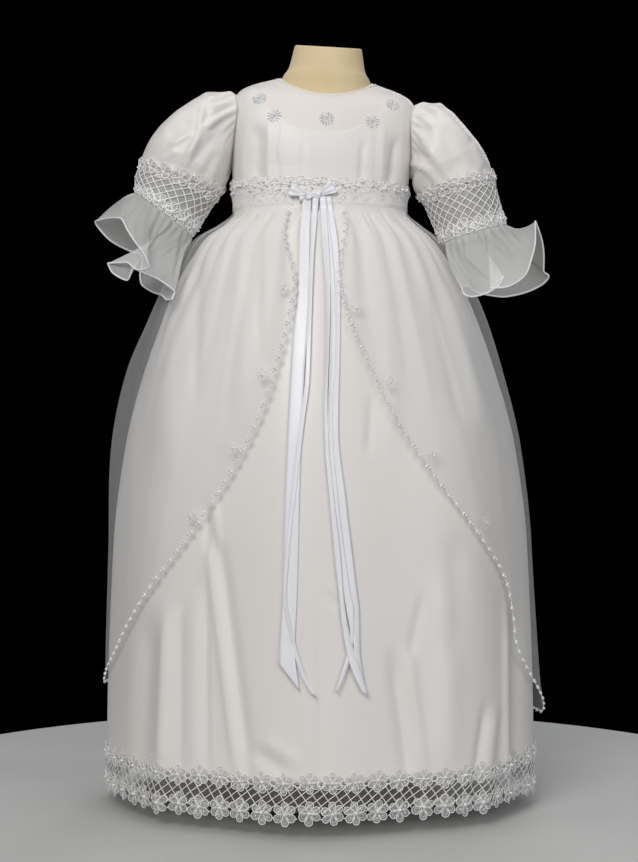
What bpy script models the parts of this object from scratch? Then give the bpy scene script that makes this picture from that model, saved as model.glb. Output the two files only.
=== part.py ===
"""Christening gown on a limbless dress form.

A gathered satin gown with a sheer overskirt that opens at the front, puffed sleeves, lace
cuffs and hem, and a ribbon bow. Metres, +Z up, front towards -Y. The origin is on the floor
under the middle of the stand. Left and right are those of a viewer who faces the front.
"""

from collections import namedtuple
from math import asin, atan2, cos, hypot, pi, radians, sin

import bmesh
import bpy
from mathutils import Vector

MM = 0.001

# Walls and gaps of the cloth
SATIN_WALL = 0.0015
SHEER_WALL = 0.0010
LACE_WALL = 0.0011
SEAM_GAP = 0.0004
CLOTH_CLEARANCE = 0.0005

# Heights that divide the gown
NECKLINE = 0.816
CHEST = 0.709
WAIST = 0.664
LACE_HEM = 0.012

# The sizes of sleeves and of the overskirt's edge were sighted from this place,
# on the upright plane through the middle of the gown
SIGHTED_FROM = 1.95
SIGHTED_HEIGHT = 0.418

# The dress form below the shoulders, in millimetres: level 1 is the chest, level 2 the waist
TorsoRow = namedtuple("TorsoRow", "height side front back")
TORSO = (
    TorsoRow(709, 99.0, 66, 60),
    TorsoRow(664, 95, 67, 58),
    TorsoRow(640, 96, 68, 60),
    TorsoRow(600, 93, 66, 60),
)
TORSO_POWER = 2.4
TORSO_COLUMNS = 20

# How far the dress form lies inside the bodice's shape at each level, in millimetres
FormRing = namedtuple("FormRing", "level inset")
FORM_RINGS = (
    FormRing(4.0, 3.0),
    FormRing(3.0, 3.0),
    FormRing(2.0, 3.0),
    FormRing(1.5, 3.0),
    FormRing(1.0, 5.0),
    FormRing(0.88, 5.0),
    FormRing(0.76, 3.5),
    FormRing(0.62, 2.0),
    FormRing(0.5, 2.0),
    FormRing(0.3, 2.0),
    FormRing(0.0, 0.3),
)

# The neck that stands out of the neckline, in millimetres
NeckRow = namedtuple("NeckRow", "height side depth")
NECK = (
    NeckRow(824, 43.5, 38),
    NeckRow(842, 40.5, 36),
    NeckRow(853, 38.5, 34.5),
    NeckRow(856, 36, 32),
)
NECK_BASE = NeckRow(816, 47, 40)
NECKLINE_DIP = 0.022

# The corner of the shoulders, which stand wider and squarer than the chest
SHOULDER_WIDTH = 0.106
SHOULDER_POWER = 4.0
SHOULDER_DROP = 0.004

# The upper body leans a little to the right
LEAN = radians(3.4)
LEAN_FROM = WAIST
LEAN_OVER = 0.060

# Armholes and front neckline, as angles round the torso and shares of its shoulder curve
ARMHOLE_SWING = radians(30)
SHOULDER_TIP = 0.5
SCOOP_DEPTH = 0.66
SCOOP_SIDE = 0.06
BODICE_COLUMNS = 14
LOWER_LEVELS = (1.99, 1.5)
FRONT_SHARES = (0.0, 0.13, 0.26, 0.40, 0.53, 0.76, 1.0)
YOKE_SHARES = (0.0, 0.4, 0.75, 1.0)
BACK_LEVELS = (1.99, 1.5, 1.0, 0.88, 0.76, 0.62, 0.5, 0.3, 0.0)

# The satin skirt, in millimetres: half sizes to each side, depth of the folds and of the gathers
SkirtRow = namedtuple("SkirtRow", "height left right front back fold gather")
SKIRT = (
    SkirtRow(662.5, 96.5, 96.5, 68.5, 59.5, 0, 0),
    SkirtRow(650, 108, 107, 82, 76, 0.3, 1.2),
    SkirtRow(634, 129, 125, 98, 94, 0.8, 2.0),
    SkirtRow(606, 147, 145, 115, 112, 1.6, 1.8),
    SkirtRow(564, 166, 167, 136, 134, 2.8, 1.0),
    SkirtRow(486, 195, 195, 160, 158, 4.4, 0.4),
    SkirtRow(400, 216, 217, 176, 176, 5.4, 0),
    SkirtRow(290, 229, 230, 187, 187, 6.2, 0),
    SkirtRow(62, 236, 237, 196, 196, 6.5, 0),
    SkirtRow(12, 236, 236, 196, 196, 6.5, 0),
)
OVAL_BELOW = 0.1
SKIRT_COLUMNS = 64
GATHERS = 32
FoldWave = namedtuple("FoldWave", "count phase share")
SKIRT_FOLDS = (FoldWave(8, 0.4, 0.6), FoldWave(5, 1.9, 0.4))

# How far the sheer overskirt stands off the satin, in millimetres
OverRow = namedtuple("OverRow", "height left right front back fold gather")
OVERSKIRT = (
    OverRow(662, 1.4, 1.4, 1.4, 1.4, 0, 0),
    OverRow(650, 8, 4.5, 4.5, 5, 0.3, 1.5),
    OverRow(634, 12, 6, 6, 6.5, 0.8, 2.4),
    OverRow(606, 11, 6, 7, 8, 1.2, 2.0),
    OverRow(564, 13, 9, 7, 9, 1.8, 1.2),
    OverRow(486, 19, 7, 7, 9, 2.8, 0.6),
    OverRow(400, 16, 6, 6, 8, 3.0, 0),
    OverRow(290, 8, 5.5, 6, 6.5, 2.8, 0),
    OverRow(150, 7.5, 7, 7, 7, 2.0, 0),
    OverRow(88, 7, 13, 6, 6.5, 2.0, 0),
)
OVER_FOLDS = (FoldWave(8, 2.2, 0.6), FoldWave(11, 0.3, 0.4))
OVER_COLUMNS = 18
OVER_BACK_HEM = 0.088
OVER_STEPS = (0.0, 0.022, 0.05, 0.10, 0.18, 0.30, 0.44, 0.58, 0.72, 0.86, 1.0)
EDGING_WIDTH = 0.007
EDGING_GAP_OUTER = 0.0009
EDGING_GAP_INNER = 0.0024

# The overskirt's front edges as sighted from the front, in millimetres
Sighting = namedtuple("Sighting", "x z")
EDGE_LEFT = (
    Sighting(-39, 663),
    Sighting(-39, 624),
    Sighting(-31, 587),
    Sighting(-39, 542),
    Sighting(-52, 497),
    Sighting(-73, 437),
    Sighting(-113, 361),
    Sighting(-158, 290),
    Sighting(-207, 215),
    Sighting(-233, 167),
    Sighting(-239, 132),
)
EDGE_RIGHT = (
    Sighting(31, 662),
    Sighting(27, 624),
    Sighting(25, 591),
    Sighting(39, 536),
    Sighting(56, 498),
    Sighting(87, 434),
    Sighting(134, 362),
    Sighting(179, 299),
    Sighting(214, 235),
    Sighting(222, 181),
    Sighting(240, 136),
    Sighting(250, 98),
)

# Sleeves, cuffs and ruffles as sighted from the front, in millimetres: the outer and inner
# end of each ring, its half depth, how far forward it lies, how far its front hangs below
# its ends, and the depth of its gathers or waves
Ring = namedtuple("Ring", "outer_x outer_z inner_x inner_z depth forward drop wave")
SLEEVE_LEFT = (
    Ring(-111, 808, -105, 708, 43, 1, 0, 1.6),
    Ring(-131, 801, -105.5, 706, 52, 3, 0, 2.0),
    Ring(-165, 779, -106, 704, 57, 6, 0, 1.4),
    Ring(-191, 752, -107, 702, 56, 8, 0, 1.2),
    Ring(-202, 729, -109, 697, 50, 10, 0, 1.6),
    Ring(-204, 721, -115, 688, 46, 12, 0, 1.0),
)
CUFF_LEFT = (
    Ring(-204, 719.4, -115.6, 686.4, 46, 12, 0, 0.6),
    Ring(-210, 705, -128, 667, 43, 20, 0, 0.4),
    Ring(-209, 690, -145, 642, 39, 30, 0, 0.4),
)
RUFFLE_LEFT = (
    Ring(-209.5, 688.6, -146, 640.6, 39, 30.5, 0, 0.4),
    Ring(-228, 676, -147, 624, 48, 40, 2, 3.5),
    Ring(-244, 664, -152, 601, 56, 52, 9, 6.0),
    Ring(-254, 656, -162, 572, 62, 62, 18, 8.0),
)
SLEEVE_RIGHT = (
    Ring(121, 796, 107, 707, 43, 1, 0, 1.6),
    Ring(139, 789, 106.5, 705, 52, 3, 0, 2.0),
    Ring(161, 769, 106, 703, 57, 6, 0, 1.4),
    Ring(179, 746, 106, 701, 56, 8, 0, 1.2),
    Ring(192, 723, 109, 692, 50, 10, 0, 1.6),
    Ring(197, 704, 117.5, 682.5, 46, 12, 0, 1.0),
)
CUFF_RIGHT = (
    Ring(197.4, 702.4, 118, 680.9, 46, 12, 0, 0.6),
    Ring(204, 679, 127, 659, 43, 20, 0, 0.4),
    Ring(211, 654, 138, 633, 39, 30, 0, 0.4),
)
RUFFLE_RIGHT = (
    Ring(211.6, 652.4, 138.7, 631.3, 39, 30.5, 0, 0.4),
    Ring(228, 646, 150, 618, 50, 40, 3, 3.5),
    Ring(241, 643, 155, 600, 58, 52, 14, 6.0),
    Ring(253, 638, 163, 580, 64, 62, 30, 8.0),
)
SLEEVE_COLUMNS = 28
SLEEVE_GATHERS = 14
RUFFLE_COLUMNS = 32
RUFFLE_WAVES = 8
RUFFLE_CLEARANCE = 0.0050
CUFF_CLEARANCE = 0.0015

# Lace: the largest opening of each repeat is a diamond between crossed threads
HEM_PITCHES = 50
CUFF_PITCHES = 9
THREAD_SHARE = 0.10
HEM_LACE_TOP = 0.073
HEM_SCALLOP = 0.004
HEM_LATTICE_LOW = 0.043
LATTICE_STEP = 0.0068
THREAD_RISE = 0.0014

# Waistband
BAND_TOP = 0.699
BAND_SCALLOP = 0.003
BAND_COLUMNS = 28

# Bow and streamers
BOW_PLACE = (-9 * MM, 0.684)
BowRow = namedtuple("BowRow", "x height depth")
BOW = (
    BowRow(-27, 2.5, 1.2),
    BowRow(-24, 6.0, 3.2),
    BowRow(-16, 7.0, 4.0),
    BowRow(-7, 4.0, 3.0),
    BowRow(-4, 7.2, 4.6),
    BowRow(4, 7.2, 4.6),
    BowRow(7, 4.0, 3.0),
    BowRow(16, 7.2, 4.0),
    BowRow(24, 6.5, 3.2),
    BowRow(27, 3.0, 1.2),
)
BOW_SIDES = 10
RibbonRow = namedtuple("RibbonRow", "height x")
RIBBON_LEFT = (RibbonRow(676, -17), RibbonRow(564, -22), RibbonRow(400, -28), RibbonRow(139, -34))
RIBBON_LEFT_INNER = (RibbonRow(676, -8.8), RibbonRow(564, -11), RibbonRow(400, -14), RibbonRow(112, -18))
RIBBON_RIGHT_INNER = (RibbonRow(676, -4.2), RibbonRow(564, -1), RibbonRow(400, 2), RibbonRow(109, 8))
RIBBON_RIGHT = (RibbonRow(676, 4), RibbonRow(564, 9), RibbonRow(400, 17), RibbonRow(107, 32))
RIBBON_WALL = 0.0010
RIBBON_CLEARANCE = 0.0019
RIBBON_ROWS = (650, 634, 606, 564, 525, 486, 443, 400, 345, 290, 220, 150)

# Stand
BASE_RADIUS = 0.115
BASE_HEIGHT = 0.010
BASE_EDGE = 0.002
POLE_RADIUS = 0.012
FORM_BOTTOM = 0.600
STAND_SIDES = 28

# Colours: red, green, blue and roughness
Finish = namedtuple("Finish", "red green blue roughness")
SATIN = Finish(0.80, 0.78, 0.75, 0.45)
SHEER = Finish(0.70, 0.70, 0.68, 0.60)
LACE = Finish(0.82, 0.81, 0.78, 0.65)
RIBBON = Finish(0.84, 0.84, 0.86, 0.35)
FORM_COVER = Finish(0.80, 0.72, 0.55, 0.75)
STAND_METAL = Finish(0.08, 0.07, 0.06, 0.55)


# Small helpers

def row_at(table, height):
    """The table's row at a height in metres, in metres, in straight lines between rows."""
    level = height / MM
    for upper, lower in zip(table, table[1:]):
        if level >= lower.height:
            break
    share = (upper.height - level) / (upper.height - lower.height)
    return type(upper)(*(MM * (a + share * (b - a)) for a, b in zip(upper, lower)))


def between(table, share):
    """The row at a share of the way along a table, in metres."""
    place = share * (len(table) - 1)
    index = min(int(place), len(table) - 2)
    part = place - index
    return type(table[0])(*(MM * (a + part * (b - a)) for a, b in zip(table[index], table[index + 1])))


def mix(start, end, share):
    return start + (end - start) * share


def smooth(share):
    share = min(max(share, 0.0), 1.0)
    return share * share * (3.0 - 2.0 * share)


def signed_power(value, power):
    return abs(value) ** power * (1.0 if value >= 0 else -1.0)


def material(name, finish):
    """A plain Principled material, made once for each name."""
    made = bpy.data.materials.get(name)
    if made is None:
        made = bpy.data.materials.new(name)
        made.use_nodes = True
        shader = made.node_tree.nodes["Principled BSDF"]
        shader.inputs["Base Color"].default_value = (finish.red, finish.green, finish.blue, 1.0)
        shader.inputs["Roughness"].default_value = finish.roughness
        shader.inputs["Metallic"].default_value = 0.0
    return made


def add_object(name, verts, faces, look, finish):
    """A mesh object in the gown's collection, under its empty."""
    mesh = bpy.data.meshes.new(name)
    mesh.from_pydata([tuple(v) for v in verts], [], faces)
    mesh.validate()
    for polygon in mesh.polygons:
        polygon.use_smooth = True
    piece = bpy.data.objects.new(name, mesh)
    piece.data.materials.append(material(look, finish))
    gown.objects.link(piece)
    piece.parent = root
    return piece


def thicken(piece, wall):
    """Turns an open surface into a wall that grows outwards."""
    solidify = piece.modifiers.new("Wall", "SOLIDIFY")
    solidify.thickness = wall
    solidify.offset = 1.0
    solidify.use_rim = True
    return piece


def grid_faces(rows, columns, closed):
    """Quads between rows of points, each row listed from low to high index."""
    faces = []
    around = columns if closed else columns - 1
    for j in range(rows - 1):
        for i in range(around):
            k = (i + 1) % columns
            faces.append((j * columns + i, j * columns + k, (j + 1) * columns + k, (j + 1) * columns + i))
    return faces


def cloth(name, rows, wall, look, finish, closed=False):
    """A wall of cloth through rows of points: left to right as seen from outside, low to high."""
    verts = [point for row in rows for point in row]
    faces = grid_faces(len(rows), len(rows[0]), closed)
    return thicken(add_object(name, verts, faces, look, finish), wall)


def closed_loft(name, rings, look, finish):
    """A solid through closed rings, capped at both ends."""
    columns = len(rings[0])
    verts = [point for ring in rings for point in ring]
    faces = grid_faces(len(rings), columns, True)
    faces.append(tuple(reversed(range(columns))))
    faces.append(tuple(range((len(rings) - 1) * columns, len(rings) * columns)))
    piece = add_object(name, verts, faces, look, finish)
    work = bmesh.new()
    work.from_mesh(piece.data)
    bmesh.ops.recalc_face_normals(work, faces=work.faces)
    work.to_mesh(piece.data)
    work.free()
    return piece


def sighted(x, z, forward):
    """The point at a distance forward of the middle plane that is seen at x and z on it."""
    scale = (SIGHTED_FROM - forward) / SIGHTED_FROM
    return Vector((x * scale, -forward, SIGHTED_HEIGHT + (z - SIGHTED_HEIGHT) * scale))


# The torso that gives the bodice its shape

def section(side, front, back, angle, power):
    """A point on a rounded section: angle 0 is at +X and 270 degrees is the front."""
    x = side * signed_power(cos(angle), 2.0 / power)
    y = (back if sin(angle) >= 0 else front) * signed_power(sin(angle), 2.0 / power)
    return Vector((x, y, 0.0))


def torso(angle, level):
    """A point of the bare torso: level 0 is the neckline, 1 the chest and 2 the waist."""
    if level >= 1.0:
        row = between(TORSO, min((level - 1.0) / (len(TORSO) - 1), 1.0))
        point = section(row.side, row.front, row.back, angle, TORSO_POWER)
        point.z = row.height
        return point
    facing = max(0.0, -sin(angle))
    neck = section(NECK_BASE.side * MM, NECK_BASE.depth * MM, NECK_BASE.depth * MM, angle, 2.0)
    neck.z = NECKLINE - NECKLINE_DIP * facing ** 1.5
    chest = torso(angle, 1.0)
    shoulder = SHOULDER_WIDTH * signed_power(cos(angle), 2.0 / SHOULDER_POWER)
    corner = Vector((shoulder, chest.y, neck.z - 0.004 - 0.006 * facing - SHOULDER_DROP * abs(cos(angle)) ** 4))
    weight = 0.8 + 3.2 * abs(cos(angle)) ** 4
    shares = ((1 - level) ** 2, 2 * weight * level * (1 - level), level ** 2)
    return (neck * shares[0] + corner * shares[1] + chest * shares[2]) / sum(shares)


def lean(point):
    """Leans the upper body to the right, from the waist up."""
    tilt = LEAN * smooth((point.z - LEAN_FROM) / LEAN_OVER)
    shift = tilt * max(0.0, point.z - LEAN_FROM - LEAN_OVER / 2)
    return Vector((point.x + shift, point.y, point.z - point.x * tilt))


def torso_point(angle, level, off):
    """A point at a distance outside the torso, leaned with it."""
    step = 0.01
    around = torso(angle + step, level) - torso(angle - step, level)
    low = min(level + step, len(TORSO) - 1.0 + 1.0)
    down = torso(angle, low) - torso(angle, max(level - step, 0.0))
    outward = down.cross(around).normalized()
    return lean(torso(angle, level) + outward * off)


def make_form():
    """The limbless dress form, smooth, with its block neck."""
    angles = [2 * pi * i / TORSO_COLUMNS for i in range(TORSO_COLUMNS)]
    rings = []
    for ring in FORM_RINGS:
        rings.append([torso_point(angle, ring.level, -ring.inset * MM) for angle in angles])
    for row in NECK:
        ring = []
        for angle in angles:
            point = section(row.side * MM, row.depth * MM, row.depth * MM, angle, 2.0)
            point.z = row.height * MM
            ring.append(lean(point))
        rings.append(ring)
    closed_loft("dress_form", rings, "form_cover", FORM_COVER)


def make_stand():
    """The base with its pole, as one turned profile."""
    top = FORM_BOTTOM - SEAM_GAP
    profile = (
        (0.0, 0.0),
        (BASE_RADIUS, 0.0),
        (BASE_RADIUS, BASE_HEIGHT - BASE_EDGE),
        (BASE_RADIUS - BASE_EDGE, BASE_HEIGHT),
        (POLE_RADIUS, BASE_HEIGHT),
        (POLE_RADIUS, top),
        (0.0, top),
    )
    verts = [(radius, 0.0, height) for radius, height in profile]
    edges = [(i, i + 1) for i in range(len(profile) - 1)]
    mesh = bpy.data.meshes.new("stand")
    mesh.from_pydata(verts, edges, [])
    piece = bpy.data.objects.new("stand", mesh)
    piece.data.materials.append(material("stand_metal", STAND_METAL))
    gown.objects.link(piece)
    piece.parent = root
    screw = piece.modifiers.new("Turn", "SCREW")
    screw.angle = 2 * pi
    screw.steps = STAND_SIDES
    screw.render_steps = STAND_SIDES
    screw.use_merge_vertices = True
    screw.merge_threshold = 0.00005
    screw.use_normal_calculate = True


# Bodice

def armhole_swing(level):
    """How far the panel's edge swings round the armhole at a level."""
    if level <= SHOULDER_TIP or level >= 1.0:
        return 0.0
    share = (level - SHOULDER_TIP) / (1.0 - SHOULDER_TIP)
    return ARMHOLE_SWING * (1 - (2 * share - 1) ** 2) ** 0.5


def front_angle(across, level):
    """Angle round the torso at a share across the front panel."""
    swing = armhole_swing(level) + SEAM_GAP / 0.1
    return mix(pi + swing, 2 * pi - swing, across)


def scoop_level(across):
    """Level of the satin's scooped top edge at a share across the front."""
    return SCOOP_SIDE + (SCOOP_DEPTH - SCOOP_SIDE) * cos((across - 0.5) * pi) ** 2


def make_bodice():
    across = [i / BODICE_COLUMNS for i in range(BODICE_COLUMNS + 1)]
    off = CLOTH_CLEARANCE
    rows = [[torso_point(front_angle(u, level), level, off) for u in across] for level in LOWER_LEVELS]
    for share in FRONT_SHARES:
        levels = [mix(1.0, scoop_level(u), share) for u in across]
        rows.append([torso_point(front_angle(u, level), level, off) for u, level in zip(across, levels)])
    cloth("bodice_front", rows, SATIN_WALL, "satin", SATIN)

    rows = []
    for share in YOKE_SHARES:
        levels = [mix(scoop_level(u) - 0.008, 0.0, share) for u in across]
        rows.append([torso_point(front_angle(u, level), level, off) for u, level in zip(across, levels)])
    cloth("yoke_front", rows, SATIN_WALL, "sheer", SHEER)

    half = [i / (BODICE_COLUMNS // 2) for i in range(BODICE_COLUMNS // 2 + 1)]
    for name, start, end in (("bodice_back_right", 0.0, 0.5 * pi), ("bodice_back_left", 0.5 * pi, pi)):
        rows = []
        for level in BACK_LEVELS:
            swing = armhole_swing(level) + SEAM_GAP / 0.1
            seam = SEAM_GAP / 0.1
            low = start + (swing if start == 0.0 else seam)
            high = end - (swing if start > 0.0 else seam)
            rows.append([torso_point(mix(low, high, u), level, off) for u in half])
        cloth(name, rows, SATIN_WALL, "satin", SATIN)


def band_point(angle, level, off):
    """A point over the flat facets of the bodice, so that the band lies on them."""
    step = pi / BODICE_COLUMNS
    start = step * int(angle / step)
    share = (angle - start) / step
    return torso_point(start, level, off).lerp(torso_point(start + step, level, off), share)


def make_waistband():
    """Lace and bead band over the waist, scalloped along its top."""
    off = CLOTH_CLEARANCE + SATIN_WALL + SEAM_GAP
    margin = SEAM_GAP / 0.1
    for name, start in (("waist_lace_front", pi), ("waist_lace_back", 0.0)):
        rows = [[], []]
        for i in range(BAND_COLUMNS + 1):
            angle = mix(start + margin, start + pi - margin, i / BAND_COLUMNS)
            top = BAND_TOP + BAND_SCALLOP * (-1) ** i
            level = 1.0 + (CHEST - top) / (CHEST - WAIST)
            rows[0].append(band_point(angle, LOWER_LEVELS[0], off))
            rows[1].append(band_point(angle, level, off))
        cloth(name, rows, LACE_WALL, "lace", LACE)


# Skirt and overskirt

def folds(waves, angle):
    return sum(wave.share * cos(wave.count * angle + wave.phase) for wave in waves)


def oval_power(height):
    """The skirt's section goes from the torso's at the waist to a plain oval."""
    return mix(TORSO_POWER, 2.0, smooth((WAIST - height) / OVAL_BELOW))


def plan(wide, deep, power, angle, off):
    """A point of a section, moved out along the section's normal."""
    x = signed_power(cos(angle), 2.0 / power)
    y = signed_power(sin(angle), 2.0 / power)
    normal = Vector((signed_power(x, power - 1) / wide, signed_power(y, power - 1) / deep, 0.0)).normalized()
    return Vector((wide * x, deep * y, 0.0)) + normal * off


def skirt_point(angle, height, off):
    row = row_at(SKIRT, height)
    wave = row.fold * folds(SKIRT_FOLDS, angle) + row.gather * cos(GATHERS * angle)
    wide = row.right if cos(angle) >= 0 else row.left
    deep = row.back if sin(angle) >= 0 else row.front
    point = plan(wide, deep, oval_power(height), angle, wave + off)
    point.z = height
    return point


def facet_point(angle, height, off):
    """A point over the flat facets of the skirt, so that what lies on it follows them."""
    step = 2 * pi / SKIRT_COLUMNS
    start = step * int(angle / step)
    share = (angle - start) / step
    return skirt_point(start, height, off).lerp(skirt_point(start + step, height, off), share)


def stand_off(angle, height):
    """How far the overskirt's inside is from the satin's outside."""
    row = row_at(OVERSKIRT, height)
    side = row.right if cos(angle) >= 0 else row.left
    end = row.back if sin(angle) >= 0 else row.front
    return side * cos(angle) ** 2 + end * sin(angle) ** 2


def over_point(angle, height, off):
    row = row_at(OVERSKIRT, height)
    wave = row.fold * (1 + folds(OVER_FOLDS, angle)) / 2
    return facet_point(angle, height, off + SATIN_WALL + stand_off(angle, height) + wave)


def over_gathers(row):
    """How far each point of a row stands out in the gathers, which take every second point."""
    return [row_at(OVERSKIRT, height).gather * (i % 2) for i, (angle, height) in enumerate(row)]


def over_sizes(point):
    """The overskirt's half width and half depth on the side where a point lies."""
    row = row_at(SKIRT, point.z)
    more = row_at(OVERSKIRT, point.z)
    wide = (row.right + more.right) if point.x >= 0 else (row.left + more.left)
    deep = (row.back + more.back) if point.y >= 0 else (row.front + more.front)
    return wide + SATIN_WALL, deep + SATIN_WALL


def oval_angle(point):
    """A point's angle round the overskirt, and its reach from the axis as a share of the size there."""
    wide, deep = over_sizes(point)
    power = oval_power(point.z)
    x = signed_power(point.x / wide, power / 2)
    y = signed_power(point.y / deep, power / 2)
    return atan2(y, x) % (2 * pi), hypot(x, y) ** (2 / power)


def on_overskirt(sighting):
    """Angle and height of the overskirt's point that is seen at a sighting."""
    near, far = 0.0, 0.25
    x, z = sighting.x * MM, sighting.z * MM
    if oval_angle(sighted(x, z, 0.0))[1] >= 1.0:
        return (0.0 if x > 0 else pi) + (2 * pi if x > 0 else 0.0), z
    for _ in range(30):
        middle = (near + far) / 2
        if oval_angle(sighted(x, z, middle))[1] < 1.0:
            near = middle
        else:
            far = middle
    found = sighted(x, z, near)
    return oval_angle(found)[0], found.z


def edge_at(edge, height):
    """Angle of a front edge at a height."""
    for upper, lower in zip(edge, edge[1:]):
        if height >= lower[1]:
            break
    share = (upper[1] - height) / (upper[1] - lower[1])
    return mix(upper[0], lower[0], min(max(share, 0.0), 1.0))


def make_skirt():
    half = SKIRT_COLUMNS // 2
    for name, start in (("skirt_front", pi), ("skirt_back", 0.0)):
        rows = []
        for row in reversed(SKIRT[:-1]):
            margin = SEAM_GAP / (row.left * MM) / 2
            angles = [mix(start, start + pi, i / half) for i in range(half + 1)]
            angles[0] += margin
            angles[-1] -= margin
            rows.append([skirt_point(angle, row.height * MM, 0.0) for angle in angles])
        cloth(name, rows, SATIN_WALL, "satin", SATIN)


def overskirt_rows(edge):
    """Rows of one overskirt half from hem to waist, each from the front edge to the back seam."""
    top = OVERSKIRT[0].height * MM
    edge_end = edge[-1][1]
    seam = SEAM_GAP / 0.15
    left = edge[0][0] < 1.5 * pi
    back = 0.5 * pi + seam if left else 2.5 * pi - seam
    rows = []
    for step in reversed(OVER_STEPS):
        edge_height = mix(top, edge_end, step)
        back_height = mix(top, OVER_BACK_HEM, step)
        edge_angle = edge_at(edge, edge_height)
        row = []
        for i in range(OVER_COLUMNS + 1):
            share = i / OVER_COLUMNS
            height = mix(edge_height, back_height, smooth(share))
            row.append((mix(edge_angle, back, share), height))
        rows.append(row)
    return rows, left


def surface_normals(rows):
    """Normals of a grid of points, from its neighbours."""
    normals = []
    for j, row in enumerate(rows):
        line = []
        for i in range(len(row)):
            along = row[min(i + 1, len(row) - 1)] - row[max(i - 1, 0)]
            up = rows[min(j + 1, len(rows) - 1)][i] - rows[max(j - 1, 0)][i]
            line.append(along.cross(up).normalized())
        normals.append(line)
    return normals


def make_edging(name, rows, normals, flip):
    """A narrow raised strip along the front edge and the lower edge, on the sheer's own points."""
    edge = len(rows[0]) - 1 if flip else 0
    inner = edge - 1 if flip else 1
    outline, inside = [], []

    def add(outer_place, inner_place, width):
        """One pair of points: the outer on the sheer's edge, the inner a width away from it."""
        outer, normal = rows[outer_place[0]][outer_place[1]], normals[outer_place[0]][outer_place[1]]
        other, other_normal = rows[inner_place[0]][inner_place[1]], normals[inner_place[0]][inner_place[1]]
        share = width / (other - outer).length
        outline.append(outer + normal * (SHEER_WALL + EDGING_GAP_OUTER))
        lifted = normal.lerp(other_normal, share).normalized() * (SHEER_WALL + EDGING_GAP_INNER)
        inside.append(outer.lerp(other, share) + lifted)

    for j in reversed(range(1, len(rows) - 1)):
        add((j, edge), (j, inner), EDGING_WIDTH)
    order = range(len(rows[0]))
    for i in reversed(order) if flip else order:
        if i == edge:
            add((0, i), (1, inner), EDGING_WIDTH * 1.4)
        else:
            add((0, i), (1, i), EDGING_WIDTH)
    strip = [inside, outline] if flip else [outline, inside]
    cloth(name, strip, SHEER_WALL, "lace", LACE)


def make_overskirt():
    for side, sightings in (("left", EDGE_LEFT), ("right", EDGE_RIGHT)):
        edge = [on_overskirt(sighting) for sighting in sightings]
        layout, left = overskirt_rows(edge)
        if left:
            layout = [list(reversed(row)) for row in layout]
        rows = [[over_point(*place, gather) for place, gather in zip(row, over_gathers(row))] for row in layout]
        cloth("overskirt_" + side, rows, SHEER_WALL, "sheer", SHEER)
        make_edging("edging_" + side, rows, surface_normals(rows), left)


# Sleeves

def ring_point(ring, turn, wave):
    """A point of a sleeve ring: turn 0 is its outer end, a quarter turn its front."""
    outer = sighted(ring.outer_x, ring.outer_z, ring.forward)
    inner = sighted(ring.inner_x, ring.inner_z, ring.forward)
    across = (outer - inner) / 2
    down = Vector((across.z, 0.0, -across.x)).normalized()
    if across.x < 0:
        down = -down
    front = Vector((0.0, -ring.depth, 0.0)) + down * ring.drop
    spoke = across * cos(turn) + front * sin(turn)
    return (outer + inner) / 2 + spoke + spoke.normalized() * ring.wave * wave


def metres(ring):
    return Ring(*(MM * value for value in ring))


def armhole_ring(side, columns):
    """The sleeve's first ring, on the bodice round the armhole."""
    off = CLOTH_CLEARANCE + SATIN_WALL + 2 * SEAM_GAP
    ring = []
    for i in range(columns):
        turn = 2 * pi * i / columns
        level = mix(SHOULDER_TIP - 0.02, 0.995, (1 - cos(turn)) / 2)
        swing = (ARMHOLE_SWING + radians(1.5)) * sin(turn)
        angle = 2 * pi - swing if side > 0 else pi + swing
        ring.append(torso_point(angle, level, off))
    return ring


def clear_of_skirt(point, gap):
    """Moves a point out until it is clear of the overskirt."""
    if point.z > WAIST - 0.004:
        return point
    angle, reach = oval_angle(point)
    gather = row_at(OVERSKIRT, point.z).gather
    surface = over_point(angle, point.z, SHEER_WALL + gap + gather)
    limit = oval_angle(surface)[1]
    if reach >= limit:
        return point
    return Vector((point.x * limit / reach, point.y * limit / reach, point.z))


def make_sleeve(side, name, table):
    rows = [armhole_ring(side, SLEEVE_COLUMNS)]
    for ring in table:
        row = []
        for i in range(SLEEVE_COLUMNS):
            turn = 2 * pi * i / SLEEVE_COLUMNS
            row.append(ring_point(metres(ring), turn, cos(SLEEVE_GATHERS * turn)))
        rows.append(row)
    if side < 0:
        rows.reverse()
    cloth("sleeve_" + name, rows, SATIN_WALL, "satin", SATIN, closed=True)


def make_ruffle(side, name, table):
    rows = []
    for ring in table:
        row = []
        for i in range(RUFFLE_COLUMNS):
            turn = 2 * pi * i / RUFFLE_COLUMNS
            point = ring_point(metres(ring), turn, cos(RUFFLE_WAVES * turn + 0.6))
            row.append(clear_of_skirt(point, RUFFLE_CLEARANCE))
        rows.append(row)
    if side < 0:
        rows.reverse()
    cloth("ruffle_" + name, rows, SHEER_WALL, "sheer", SHEER, closed=True)


# Lace with its largest openings cut through

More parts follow.
